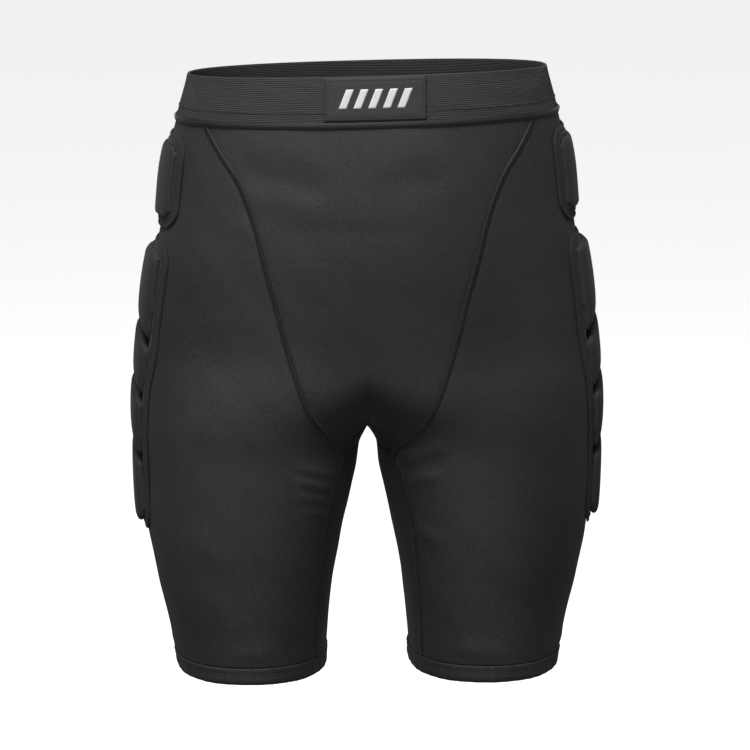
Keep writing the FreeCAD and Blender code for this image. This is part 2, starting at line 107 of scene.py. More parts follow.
@dataclass
class GarmentForm:
    """The outline of the worn garment, as ovals at levels below the waist rim."""

    power: float = 2.3
    waist_half_width: float = 0.147
    waist_half_depth: float = 0.104
    belly_depth: float = 0.108
    seat_depth: float = 0.128
    crotch_drop: float = 0.301
    hip_axis_drop: float = 0.230
    hip_half_width: float = 0.188
    lean: float = 0.022
    rim_tilt: float = 0.036
    rim_fade: float = 0.034
    hem_inset_across: float = 0.0028
    hem_inset_along: float = 0.0021
    folds: list[Fold] = field(default_factory=list)

    def __post_init__(self) -> None:
        """Take the hem from the frame and set out the levels."""
        low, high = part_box("left_hem_band")
        self.height = -low[2]
        self.leg_centre = (low[0] + high[0]) / 2.0
        self.hem_half_width = (high[0] - low[0]) / 2.0 - self.hem_inset_across
        self.hem_half_depth = (high[1] - low[1]) / 2.0 - self.hem_inset_along
        rise = self.crotch_drop - self.hip_axis_drop
        thigh = self.height - self.crotch_drop
        hip, belly, seat = self.hip_half_width, self.belly_depth, self.seat_depth
        rows = [(0.004, 0.0, self.waist_half_width - 0.0005, None, 0.0003 - self.waist_half_depth,
                 self.waist_half_depth - 0.0003),
                (0.0, 0.0, self.waist_half_width, None, -self.waist_half_depth, self.waist_half_depth)]
        for share, widening, front, back in (
            (0.16, 0.23, 0.985, 0.86), (0.30, 0.39, 1.0, 0.905), (0.47, 0.51, 1.0, 0.955),
            (0.65, 0.67, 0.99, 0.995), (0.82, 0.81, 0.963, 1.0),
        ):
            width = self.waist_half_width + widening * (hip - self.waist_half_width)
            rows.append((-share * self.hip_axis_drop, 0.0, width, None, -front * belly, back * seat))
        axis, crotch = -self.hip_axis_drop, -self.crotch_drop
        for z, centre, outer, inner, front, back in (
            (axis, 0.08, 0.981, -0.66, 0.93, 0.93),
            (axis - 0.42 * rise, 0.30, 0.997, -0.27, 0.91, 0.83),
            (axis - 0.77 * rise, 0.45, 1.0, -0.045, 0.875, 0.775),
            (crotch, 0.50, 0.999, 0.016, 0.85, 0.745),
            (crotch - 0.17 * thigh, 0.53, 0.994, 0.055, 0.82, 0.71),
            (crotch - 0.37 * thigh, 0.545, 0.985, 0.103, 0.795, 0.68),
            (crotch - 0.62 * thigh, 0.545, 0.937, 0.154, 0.755, 0.635),
            (crotch - 0.83 * thigh, 0.533, 0.887, 0.178, 0.72, 0.605),
        ):
            rows.append((z, centre * hip, outer * hip, inner * hip, -front * belly, back * seat))
        rows.append((-self.height, self.leg_centre, self.leg_centre + self.hem_half_width,
                     self.leg_centre - self.hem_half_width, -self.hem_half_depth, self.hem_half_depth))
        rows = [row[:3] + (-row[2] if row[3] is None else row[3],) + row[4:] for row in rows]
        self.levels = np.array(rows[::-1])

    def section(self, z: np.ndarray) -> tuple[np.ndarray, ...]:
        """Centre x, outer x, inner x, front y and back y at each level."""
        keys = self.levels[:, 0]
        return tuple(smooth_values(z, keys, self.levels[:, k]) for k in range(1, 6))

    def point(self, z: np.ndarray, angle: np.ndarray) -> np.ndarray:
        """Point of the left half at a level and an angle: 0 outer side, +90 back, -90 front."""
        z, angle = np.broadcast_arrays(np.asarray(z, float), np.asarray(angle, float))
        centre, outer, inner, front, back = self.section(z)
        c, s = np.cos(angle), np.sin(angle)
        across = np.sign(c) * np.abs(c) ** (2.0 / self.power)
        along = np.sign(s) * np.abs(s) ** (2.0 / self.power)
        x = centre + across * np.where(across > 0, outer - centre, centre - inner)
        y = along * np.where(along > 0, back, -front)
        return np.stack([x, y, z], axis=-1)

    def angle_at(self, z: np.ndarray, x: np.ndarray, back: bool) -> np.ndarray:
        """Angle at which the section at z passes x, on its front or its back."""
        centre, outer, inner, _, _ = self.section(z)
        share = (x - centre) / np.where(x > centre, outer - centre, centre - inner)
        share = np.clip(share, -1.0, 1.0)
        turn = np.arccos(np.sign(share) * np.abs(share) ** (self.power / 2.0))
        return turn if back else -turn

    def normal(self, z: np.ndarray, angle: np.ndarray) -> np.ndarray:
        """Outward direction of the form at a level and an angle."""
        da, dz = 1e-3, 5e-4
        around = self.point(z, angle + da) - self.point(z, angle - da)
        down = self.point(z - dz, angle) - self.point(z + dz, angle)
        out = np.cross(down, around)
        return out / np.maximum(np.linalg.norm(out, axis=-1, keepdims=True), 1e-12)

    def side(self, y: np.ndarray, z: np.ndarray) -> np.ndarray:
        """Point of the outer left side at a depth y and a level."""
        centre, outer, _, front, back = self.section(z)
        share = np.clip(np.abs(y) / np.where(y > 0, back, -front), 0.0, 0.999)
        x = centre + (outer - centre) * (1.0 - share ** self.power) ** (1.0 / self.power)
        return np.stack([x, y, z], axis=-1)

    def behind(self, x: np.ndarray, z: np.ndarray) -> np.ndarray:
        """Point of the seat at a distance x from the middle and a level."""
        centre, outer, inner, _, back = self.section(z)
        near = np.abs(x)
        share = np.abs(near - centre) / np.where(near > centre, outer - centre, centre - inner)
        y = back * (1.0 - np.clip(share, 0.0, 0.999) ** self.power) ** (1.0 / self.power)
        return np.stack([x, y, z], axis=-1)

    def relief(self, points: np.ndarray) -> np.ndarray:
        """Height of folds and slight unevenness of the cloth at each point."""
        x, y, z = points[..., 0], points[..., 1], points[..., 2]
        rise = 0.00035 * np.sin(61.0 * x + 23.0 * z + 1.3) * np.sin(47.0 * z - 31.0 * y + 0.4)
        rise = rise + 0.00022 * np.sin(131.0 * z + 83.0 * x) * np.sin(97.0 * y - 57.0 * x + 2.0)
        for fold in self.folds:
            rise = rise + fold.rise(points)
        return rise

    def settle(self, points: np.ndarray) -> np.ndarray:
        """Let the waist sit a little lower on one side, and its rim a little higher in front."""
        out = np.array(points, float)
        fade = np.clip(1.0 + out[..., 2] / self.height, 0.0, 1.0)
        near_rim = np.clip(1.0 + out[..., 2] / self.rim_fade, 0.0, 1.0)
        out[..., 2] += self.lean * out[..., 0] * fade - self.rim_tilt * out[..., 1] * near_rim
        return out


@dataclass(frozen=True)
class SeamLine:
    """A seam of the left half, as distances from the centre plane at levels."""

    xs: tuple[float, ...]
    zs: tuple[float, ...]
    back: bool

    def x_at(self, z: np.ndarray) -> np.ndarray:
        """Distance of the seam from the centre plane at a level."""
        return smooth_values(z, np.array(self.zs[::-1]), np.array(self.xs[::-1]))


def seam_line(form: GarmentForm, back: bool) -> SeamLine:
    """The front or back seam from the waist to the hem.

    Args:
        form: The garment form.
        back: True for the back seam.

    Returns:
        The seam line of the left half.
    """
    waist, drop = 1.03 * form.waist_half_width, form.crotch_drop
    front_points = [(0.94, 0.0), (0.878, 0.116), (0.787, 0.20), (0.72, 0.249), (0.646, 0.332),
                    (0.558, 0.498), (0.512, 0.581), (0.473, 0.664), (0.428, 0.748), (0.377, 0.831),
                    (0.325, 0.897), (0.267, 0.947), (0.217, 0.98), (0.141, 1.022)]
    back_points = [(0.76, 0.0), (0.79, 0.20), (0.79, 0.45), (0.72, 0.66), (0.58, 0.80), (0.36, 0.91),
                   (0.22, 0.98), (0.141, 1.022)]
    body = back_points if back else front_points
    line = [(across * waist, -down * drop) for across, down in body]
    below = form.height - drop
    for across, down in ((0.40, 0.13), (0.52, 0.26), (0.63, 0.52), (0.69, 0.78), (0.72, 1.05)):
        line.append((across * form.hem_half_width, -drop - down * below))
    return SeamLine(tuple(p[0] for p in line), tuple(p[1] for p in line), back)


# ------------------------------------------------------------------------------------------- meshes
def resample(points: np.ndarray, count: int) -> np.ndarray:
    """The same line with evenly spaced points."""
    steps = np.linalg.norm(np.diff(points, axis=0), axis=1)
    reach = np.concatenate([[0.0], np.cumsum(steps)])
    at = np.linspace(0.0, reach[-1], count)
    return np.stack([np.interp(at, reach, points[:, k]) for k in range(3)], axis=1)


def grid_normals(grid: np.ndarray, wrap: bool = False) -> np.ndarray:
    """Unit normals of a grid of points, rows across columns."""
    down = np.gradient(grid, axis=0)
    if wrap:
        around = np.roll(grid, -1, axis=1) - np.roll(grid, 1, axis=1)
    else:
        around = np.gradient(grid, axis=1)
    out = np.cross(down, around)
    return out / np.maximum(np.linalg.norm(out, axis=-1, keepdims=True), 1e-12)


def mesh_object(name: str, verts: np.ndarray, faces: list[tuple[int, ...]],
                uvs: np.ndarray | None = None) -> bpy.types.Object:
    """New smooth-shaded object at the origin.

    Args:
        name: Piece name.
        verts: Vertex positions.
        faces: Vertex indices of each face.
        uvs: One cloth coordinate per vertex, in metres.

    Returns:
        The object, linked to the scene.
    """
    mesh = bpy.data.meshes.new(name)
    mesh.from_pydata([tuple(map(float, v)) for v in verts], [], faces)
    if uvs is not None:
        layer = mesh.uv_layers.new(name="cloth")
        index = np.zeros(len(mesh.loops), int)
        mesh.loops.foreach_get("vertex_index", index)
        layer.data.foreach_set("uv", np.asarray(uvs, np.float32)[index].ravel())
    mesh.polygons.foreach_set("use_smooth", [True] * len(mesh.polygons))
    obj = bpy.data.objects.new(name, mesh)
    bpy.context.scene.collection.objects.link(obj)
    return obj


def grid_faces(rows: int, cols: int, wrap_rows: bool = False, wrap_cols: bool = False) -> list[tuple[int, ...]]:
    """Quads of a grid whose rows run down and columns run anticlockwise, seen from outside."""
    faces = []
    for r in range(rows if wrap_rows else rows - 1):
        for c in range(cols if wrap_cols else cols - 1):
            r2, c2 = (r + 1) % rows, (c + 1) % cols
            faces.append((r * cols + c, r2 * cols + c, r2 * cols + c2, r * cols + c2))
    return faces


def grid_uvs(grid: np.ndarray) -> np.ndarray:
    """Cloth coordinates of a grid: along its middle row and down its middle column, in metres."""
    rows, cols = grid.shape[:2]
    across = np.linalg.norm(np.diff(grid, axis=1), axis=2)
    u = np.concatenate([np.zeros((rows, 1)), np.cumsum(across, axis=1)], axis=1)
    u = u - u[:, [cols // 2]]
    down = np.linalg.norm(np.diff(grid[:, cols // 2], axis=0), axis=1)
    v = -np.concatenate([[0.0], np.cumsum(down)])
    return np.stack([u, np.repeat(v[:, None], cols, axis=1)], axis=-1).reshape(-1, 2)


def applied(obj: bpy.types.Object) -> bpy.types.Object:
    """The object with its modifiers made part of its mesh."""
    graph = bpy.context.evaluated_depsgraph_get()
    mesh = bpy.data.meshes.new_from_object(obj.evaluated_get(graph), depsgraph=graph)
    obj.modifiers.clear()
    old = obj.data
    obj.data = mesh
    bpy.data.meshes.remove(old)
    return obj


def thickened(obj: bpy.types.Object, thickness: float) -> bpy.types.Object:
    """Give a sheet its thickness, inwards."""
    solid = obj.modifiers.new("thickness", "SOLIDIFY")
    solid.thickness = thickness
    solid.offset = -1.0
    solid.use_even_offset = True
    solid.use_quality_normals = True
    return applied(obj)


def mirrored(obj: bpy.types.Object, name: str) -> bpy.types.Object:
    """Copy of a left piece for the right side, with its faces kept outwards."""
    mesh = obj.data.copy()
    count = len(mesh.vertices)
    co = np.zeros(count * 3)
    mesh.vertices.foreach_get("co", co)
    co[0::3] *= -1.0
    mesh.vertices.foreach_set("co", co)
    mesh.flip_normals()
    twin = bpy.data.objects.new(name, mesh)
    bpy.context.scene.collection.objects.link(twin)
    return twin


# ------------------------------------------------------------------------------------------ finishes
class Effects:
    """Shader node groups that the finishes share, built once."""

    def __init__(self) -> None:
        """Build the groups."""
        self.knit = self._knit()
        self.mottle = self._mottle()
        self.ribs = self._ribs()

    @staticmethod
    def _group(name: str, inputs: dict[str, float], outputs: list[str]) -> bpy.types.NodeTree:
        """Empty shader group with float inputs after a vector, and float outputs."""
        tree = bpy.data.node_groups.new(name, "ShaderNodeTree")
        tree.interface.new_socket("Vector", in_out="INPUT", socket_type="NodeSocketVector")
        for key, value in inputs.items():
            tree.interface.new_socket(key, in_out="INPUT", socket_type="NodeSocketFloat").default_value = value
        for key in outputs:
            tree.interface.new_socket(key, in_out="OUTPUT", socket_type="NodeSocketFloat")
        tree.nodes.new("NodeGroupInput").name = "in"
        tree.nodes.new("NodeGroupOutput").name = "out"
        return tree

    @staticmethod
    def _math(tree: bpy.types.NodeTree, kind: str, a: object, b: object = 0.0) -> bpy.types.NodeSocket:
        """Maths node whose inputs are sockets or numbers."""
        node = tree.nodes.new("ShaderNodeMath")
        node.operation = kind
        for socket, value in zip(node.inputs, (a, b)):
            if isinstance(value, (int, float)):
                socket.default_value = value
            else:
                tree.links.new(value, socket)
        return node.outputs[0]

    def _knit(self) -> bpy.types.NodeTree:
        """Fine knit: wales down the cloth and courses across it, each loop leaning."""
        tree = self._group("fine_knit", {"Pitch": 0.0011, "Unevenness": 0.4}, ["Height"])
        enter, leave = tree.nodes["in"], tree.nodes["out"]
        split = tree.nodes.new("ShaderNodeSeparateXYZ")
        tree.links.new(enter.outputs["Vector"], split.inputs[0])
        turn = self._math(tree, "DIVIDE", 2.0 * math.pi, enter.outputs["Pitch"])
        across = self._math(tree, "MULTIPLY", split.outputs["X"], turn)
        wave = self._math(tree, "SINE", self._math(tree, "MULTIPLY", across, 0.5))
        lean = self._math(tree, "ABSOLUTE", wave)
        course_turn = self._math(tree, "MULTIPLY", turn, 1.25)
        down = self._math(tree, "MULTIPLY", split.outputs["Y"], course_turn)
        slanted = self._math(tree, "ADD", down, self._math(tree, "MULTIPLY", lean, 2.2))
        loops = self._math(tree, "SINE", slanted)
        wales = self._math(tree, "MULTIPLY", lean, 0.8)
        knit = self._math(tree, "ADD", wales, self._math(tree, "MULTIPLY", loops, 0.35))
        noise = tree.nodes.new("ShaderNodeTexNoise")
        noise.inputs["Scale"].default_value = 1500.0
        noise.inputs["Detail"].default_value = 3.0
        tree.links.new(enter.outputs["Vector"], noise.inputs["Vector"])
        rough = self._math(tree, "MULTIPLY", noise.outputs["Fac"], enter.outputs["Unevenness"])
        tree.links.new(self._math(tree, "ADD", knit, rough), leave.inputs["Height"])
        return tree

    def _mottle(self) -> bpy.types.NodeTree:
        """Slow change of shade, and fine speckle of fibres."""
        tree = self._group("mottle", {"Patch": 5.0, "Speckle": 760.0}, ["Patches", "Fibres"])
        enter, leave = tree.nodes["in"], tree.nodes["out"]
        for key, out, detail in (("Patch", "Patches", 1.0), ("Speckle", "Fibres", 2.0)):
            noise = tree.nodes.new("ShaderNodeTexNoise")
            noise.inputs["Detail"].default_value = detail
            tree.links.new(enter.outputs["Vector"], noise.inputs["Vector"])
            tree.links.new(enter.outputs[key], noise.inputs["Scale"])
            tree.links.new(noise.outputs["Fac"], leave.inputs[out])
        return tree

    def _ribs(self) -> bpy.types.NodeTree:
        """Elastic ribs: rows across, broken by short upright threads."""
        tree = self._group("elastic_ribs", {"Row": 0.0014, "Thread": 0.0009}, ["Height"])
        enter, leave = tree.nodes["in"], tree.nodes["out"]
        split = tree.nodes.new("ShaderNodeSeparateXYZ")
        tree.links.new(enter.outputs["Vector"], split.inputs[0])
        row_turn = self._math(tree, "DIVIDE", 2.0 * math.pi, enter.outputs["Row"])
        up_turn = self._math(tree, "DIVIDE", 2.0 * math.pi, enter.outputs["Thread"])
        rows = self._math(tree, "MULTIPLY", split.outputs["Y"], row_turn)
        ups = self._math(tree, "MULTIPLY", split.outputs["X"], up_turn)
        row = self._math(tree, "SINE", rows)
        up = self._math(tree, "MULTIPLY", self._math(tree, "SINE", ups), 0.35)
        tree.links.new(self._math(tree, "ADD", row, up), leave.inputs["Height"])
        return tree


class Weave(Enum):
    """Which surface pattern a finish has."""

    KNIT = "knit"
    RIBS = "ribs"
    PLAIN = "plain"


@dataclass(frozen=True)
class Finish:
    """A cloth or thread finish."""

    name: str
    colour: tuple[float, float, float]
    weave: Weave = Weave.KNIT
    roughness: float = 0.72
    sheen: float = 0.05
    specular: float = 0.35
    pitch: float = 0.0011
    depth: float = 0.00012
    change: float = 0.16
    uses_cloth_map: bool = True

    def build(self, effects: Effects) -> bpy.types.Material:
        """Make the material.

        Args:
            effects: The shared shader groups.

        Returns:
            The finished material.
        """
        material = bpy.data.materials.new(self.name)
        material.use_nodes = True
        nodes, links = material.node_tree.nodes, material.node_tree.links
        shader = nodes["Principled BSDF"]
        shader.inputs["Roughness"].default_value = self.roughness
        shader.inputs["Specular IOR Level"].default_value = self.specular
        shader.inputs["Sheen Weight"].default_value = self.sheen
        shader.inputs["Sheen Roughness"].default_value = 0.45
        place = nodes.new("ShaderNodeTexCoord")
        vector = place.outputs["Object"]
        if self.uses_cloth_map:
            cloth = nodes.new("ShaderNodeUVMap")
            cloth.uv_map = "cloth"
            vector = cloth.outputs["UV"]
        mottle = nodes.new("ShaderNodeGroup")
        mottle.node_tree = effects.mottle
        links.new(place.outputs["Object"], mottle.inputs["Vector"])
        mixed = nodes.new("ShaderNodeMixRGB")
        mixed.blend_type = "MIX"
        low = tuple(c * (1.0 - self.change) for c in self.colour)
        high = tuple(c * (1.0 + self.change) + 0.002 for c in self.colour)
        mixed.inputs["Color1"].default_value = (*low, 1.0)
        mixed.inputs["Color2"].default_value = (*high, 1.0)
        both = nodes.new("ShaderNodeMath")
        both.operation = "ADD"
        links.new(mottle.outputs["Patches"], both.inputs[0])
        links.new(mottle.outputs["Fibres"], both.inputs[1])
        halved = nodes.new("ShaderNodeMapRange")
        halved.inputs["From Min"].default_value = 0.82
        halved.inputs["From Max"].default_value = 1.18
        links.new(both.outputs[0], halved.inputs["Value"])
        links.new(halved.outputs["Result"], mixed.inputs["Fac"])
        links.new(mixed.outputs["Color"], shader.inputs["Base Color"])
        gloss = nodes.new("ShaderNodeMapRange")
        gloss.inputs["To Min"].default_value = self.roughness - 0.06
        gloss.inputs["To Max"].default_value = min(1.0, self.roughness + 0.06)
        links.new(mottle.outputs["Patches"], gloss.inputs["Value"])
        links.new(gloss.outputs["Result"], shader.inputs["Roughness"])
        bump = nodes.new("ShaderNodeBump")
        bump.inputs["Distance"].default_value = self.depth
        bump.inputs["Strength"].default_value = 0.9
        if self.weave is Weave.PLAIN:
            links.new(mottle.outputs["Fibres"], bump.inputs["Height"])
        else:
            pattern = nodes.new("ShaderNodeGroup")
            pattern.node_tree = effects.knit if self.weave is Weave.KNIT else effects.ribs
            links.new(vector, pattern.inputs["Vector"])
            if self.weave is Weave.KNIT:
                pattern.inputs["Pitch"].default_value = self.pitch
            links.new(pattern.outputs["Height"], bump.inputs["Height"])
        links.new(bump.outputs["Normal"], shader.inputs["Normal"])
        return material


STRETCH = Finish("stretch_knit", (0.0175, 0.018, 0.019), roughness=0.58, sheen=0.04, change=0.34)
PAD_KNIT = Finish(
    "pad_knit", (0.0145, 0.015, 0.0158),
    uses_cloth_map=False, weave=Weave.PLAIN, depth=0.00018, roughness=0.8,
)
ELASTIC = Finish("ribbed_elastic", (0.028, 0.029, 0.029), weave=Weave.RIBS, depth=0.0002, roughness=0.8)
BINDING = Finish(
    "binding_tape", (0.012, 0.012, 0.013),
    uses_cloth_map=False, weave=Weave.PLAIN, depth=0.0002, roughness=0.85,
)
SEAM = Finish(
    "seam_thread", (0.0045, 0.0045, 0.005),
    uses_cloth_map=False, weave=Weave.PLAIN, depth=0.0001, roughness=0.6, sheen=0.1,
)
THREAD = Finish(
    "sewing_thread", (0.020, 0.020, 0.021),
    uses_cloth_map=False, weave=Weave.PLAIN, depth=0.00008, roughness=0.55,
)
LABEL = Finish(
    "label_weave", (0.022, 0.022, 0.024),
    weave=Weave.KNIT, pitch=0.0006, depth=0.00006, roughness=0.6,
)
PALE = Finish(
    "pale_thread", (0.55, 0.56, 0.57),
    uses_cloth_map=False, weave=Weave.PLAIN, depth=0.00008, roughness=0.55, change=0.06,
)


class Wardrobe:
    """Every material of the garment, built once."""

    def __init__(self) -> None:
        """Build the materials."""
        effects = Effects()
        finishes = (STRETCH, PAD_KNIT, ELASTIC, BINDING, SEAM, THREAD, LABEL, PALE)
        self.materials = {finish: finish.build(effects) for finish in finishes}

    def dress(self, obj: bpy.types.Object, finish: Finish) -> None:
        """Give an object one finish all over."""
        obj.data.materials.clear()
        obj.data.materials.append(self.materials[finish])


# ------------------------------------------------------------------------------------------ stitches
class StitchTree:
    """Geometry nodes that set one rounded thread on each small face of a guide mesh."""

    INPUTS = {"Length": 0.0024, "Width": 0.0006, "Height": 0.0004, "Wobble": 0.06}

    def __init__(self) -> None:
        """Build the tree."""
        tree = bpy.data.node_groups.new("stitches_on_faces", "GeometryNodeTree")
        self.tree = tree
        face = tree.interface
        face.new_socket("Geometry", in_out="INPUT", socket_type="NodeSocketGeometry")
        for key, value in self.INPUTS.items():
            face.new_socket(key, in_out="INPUT", socket_type="NodeSocketFloat").default_value = value
        face.new_socket("Seed", in_out="INPUT", socket_type="NodeSocketInt").default_value = 7
        face.new_socket("Thread", in_out="INPUT", socket_type="NodeSocketMaterial")
        face.new_socket("Geometry", in_out="OUTPUT", socket_type="NodeSocketGeometry")
        add, link = tree.nodes.new, tree.links.new
        enter, leave = add("NodeGroupInput"), add("NodeGroupOutput")
        catch = add("GeometryNodeCaptureAttribute")
        catch.domain = "FACE"
        catch.capture_items.new("VECTOR", "Facing")
        link(enter.outputs["Geometry"], catch.inputs["Geometry"])
        link(add("GeometryNodeInputNormal").outputs[0], catch.inputs["Facing"])
        points = add("GeometryNodeMeshToPoints")
        points.mode = "FACES"
        link(catch.outputs["Geometry"], points.inputs["Mesh"])
        run = add("GeometryNodeInputNamedAttribute")
        run.data_type = "FLOAT_VECTOR"
        run.inputs["Name"].default_value = "run"
        stand = add("FunctionNodeAlignRotationToVector")
        stand.axis = "Z"
        link(catch.outputs["Facing"], stand.inputs["Vector"])
        aim = add("FunctionNodeAlignRotationToVector")
        aim.axis = "X"
        aim.pivot_axis = "Z"
        link(stand.outputs[0], aim.inputs["Rotation"])
        link(run.outputs["Attribute"], aim.inputs["Vector"])
        wobble = add("FunctionNodeRandomValue")
        wobble.data_type = "FLOAT"
        link(enter.outputs["Wobble"], wobble.inputs[3])
        minus = add("ShaderNodeMath")
        minus.operation = "MULTIPLY"
        minus.inputs[1].default_value = -1.0
        link(enter.outputs["Wobble"], minus.inputs[0])
        link(minus.outputs[0], wobble.inputs[2])
        link(enter.outputs["Seed"], wobble.inputs["Seed"])
        spin = add("FunctionNodeAxisAngleToRotation")
        spin.inputs["Axis"].default_value = (0.0, 0.0, 1.0)
        link(wobble.outputs[1], spin.inputs["Angle"])
        turned = add("FunctionNodeRotateRotation")
        turned.rotation_space = "LOCAL"
        link(aim.outputs[0], turned.inputs["Rotation"])
        link(spin.outputs[0], turned.inputs["Rotate By"])
        ball = add("GeometryNodeMeshUVSphere")
        ball.inputs["Segments"].default_value = 8
        ball.inputs["Rings"].default_value = 5
        ball.inputs["Radius"].default_value = 0.5
        size = add("ShaderNodeCombineXYZ")
        for axis, key in zip("XYZ", ("Length", "Width", "Height")):
            link(enter.outputs[key], size.inputs[axis])
        place = add("GeometryNodeInstanceOnPoints")
        link(points.outputs["Points"], place.inputs["Points"])
        link(ball.outputs["Mesh"], place.inputs["Instance"])
        link(turned.outputs[0], place.inputs["Rotation"])
        link(size.outputs[0], place.inputs["Scale"])
        real = add("GeometryNodeRealizeInstances")
        link(place.outputs[0], real.inputs[0])
        smooth = add("GeometryNodeSetShadeSmooth")
        link(real.outputs[0], smooth.inputs["Geometry"])
        colour = add("GeometryNodeSetMaterial")
        link(smooth.outputs[0], colour.inputs["Geometry"])
        link(enter.outputs["Thread"], colour.inputs["Material"])
        link(colour.outputs[0], leave.inputs[0])

    def sew(self, name: str, centres: np.ndarray, runs: np.ndarray, normals: np.ndarray,
            material: bpy.types.Material, sizes: dict[str, float], seed: int = 7) -> bpy.types.Object:
        """Set a thread at each centre.

        Args:
            name: Piece name.
            centres: Middle of each stitch.
            runs: Direction of each stitch.
            normals: Outward direction at each stitch.
            material: The thread's material.
            sizes: Length, Width, Height and Wobble that differ from the usual.
            seed: Seed of the wobble.

        Returns:
            A plain mesh object of all the stitches.
        """
        half = 0.0002
        runs = runs / np.linalg.norm(runs, axis=1, keepdims=True)
        sides = np.cross(normals, runs)
        sides = sides / np.linalg.norm(sides, axis=1, keepdims=True)
        corners = [centres - half * runs - half * sides, centres + half * runs - half * sides,
                   centres + half * runs + half * sides, centres - half * runs + half * sides]
        verts = np.stack(corners, axis=1).reshape(-1, 3)
        faces = [(4 * i, 4 * i + 1, 4 * i + 2, 4 * i + 3) for i in range(len(centres))]
        guide = mesh_object(name, verts, faces)
        attribute = guide.data.attributes.new("run", "FLOAT_VECTOR", "FACE")
        attribute.data.foreach_set("vector", np.asarray(runs, np.float32).ravel())
        modifier = guide.modifiers.new("stitches", "NODES")
        modifier.node_group = self.tree
        items = self.tree.interface.items_tree
        sockets = {item.name: item.identifier for item in items if item.in_out == "INPUT"}
        for key, value in {**self.INPUTS, **sizes}.items():
            modifier[sockets[key]] = value
        modifier[sockets["Seed"]] = seed
        modifier[sockets["Thread"]] = material
        return applied(guide)


@dataclass
class Path:
    """A line on the garment, with directions."""

    points: np.ndarray
    normals: np.ndarray
    closed: bool = False

    def at_pitch(self, pitch: float) -> tuple[np.ndarray, np.ndarray, np.ndarray]:
        """Evenly spaced places on the line.

        Args:
            pitch: Wanted distance between places.

        Returns:
            Places, directions along the line and outward directions.
        """
        points, normals = self.points, self.normals
        if self.closed:
            points = np.concatenate([points, points[:1]])
            normals = np.concatenate([normals, normals[:1]])
        steps = np.linalg.norm(np.diff(points, axis=0), axis=1)
        reach = np.concatenate([[0.0], np.cumsum(steps)])
        count = max(2, int(round(reach[-1] / pitch)))
        at = (np.arange(count) + 0.5) * reach[-1] / count

        def read(values: np.ndarray, where: np.ndarray) -> np.ndarray:
            """Values along the line at distances."""
            return np.stack([np.interp(where, reach, values[:, k]) for k in range(3)], axis=1)

        after = np.minimum(at + 0.3 * pitch, reach[-1])
        before = np.maximum(at - 0.3 * pitch, 0.0)
        ahead = read(points, after) - read(points, before)
        facing = read(normals, at)
        facing = facing / np.linalg.norm(facing, axis=1, keepdims=True)
        return read(points, at), ahead, facing


# -------------------------------------------------------------------------------------- the garment
class Side(Enum):
    """Side of the wearer, with the sign of its x."""

    LEFT = 1.0
    RIGHT = -1.0

    @property
    def word(self) -> str:
        """Name that starts the side's pieces."""
        return self.name.lower()

    @property
    def leg(self) -> str:
        """Body of the side's leg."""
        return self.word + "_leg"


def placed(grid: np.ndarray, side: Side) -> np.ndarray:
    """A left-half grid on its side, with columns kept anticlockwise from outside."""
    if side is Side.LEFT:
        return grid
    return (grid * np.array([-1.0, 1.0, 1.0]))[..., ::-1, :]


@dataclass
class Hip:
    """Where cloth gives between the hips and a leg."""

    slope: float = math.radians(32.0)
    start: float = 0.270
    length: float = 0.140

    def bend(self, obj: bpy.types.Object, side: Side) -> None:
        """Bake a piece's placement into its mesh; the piece is not bent."""
        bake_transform(obj)


@dataclass
class Workshop:
    """What every sub-assembly needs to build its pieces."""

    form: GarmentForm
    wardrobe: Wardrobe
    stitches: StitchTree
    hip: Hip

    def report(self, obj: bpy.types.Object) -> bpy.types.Object:
        """Log a finished piece."""
        LOG.info("%-34s %7d faces", obj.name, len(obj.data.polygons))
        return obj

    def ring(self, z: float, out: float, count: int, side: Side | None) -> Path:
        """Closed line round the waist (no side) or a leg at a level, out from the form."""
        angles = np.linspace(-math.pi / 2.0, 1.5 * math.pi, count, endpoint=False)
        points = self.form.point(np.full(count, z), angles)
        flat = self.form.normal(np.full(count, z), angles) * np.array([1.0, 1.0, 0.0])
        flat = flat / np.linalg.norm(flat, axis=1, keepdims=True)
        points = points + out * flat
        if side is Side.RIGHT:
            points, flat = points * (-1.0, 1.0, 1.0), flat * (-1.0, 1.0, 1.0)
            points, flat = points[::-1], flat[::-1]
        return Path(self.form.settle(points), flat, closed=True)


@dataclass(frozen=True)
class Cut:
    """Flat size that a piece of cloth is taken to be cut to, relaxed; worn, about a tenth wider."""

    width: float
    length: float
    area: float | None = None


FRONT_CUT = Cut(0.273, 0.300, 0.0438)
SEAT_CUT = Cut(0.235, 0.320, 0.0537)
SIDE_CUT = Cut(0.390, 0.455, 0.1370)
GUSSET_CUT = Cut(0.120, 0.175, 0.0195)
CROTCH_CUT = Cut(0.073, 0.116, 0.0030)


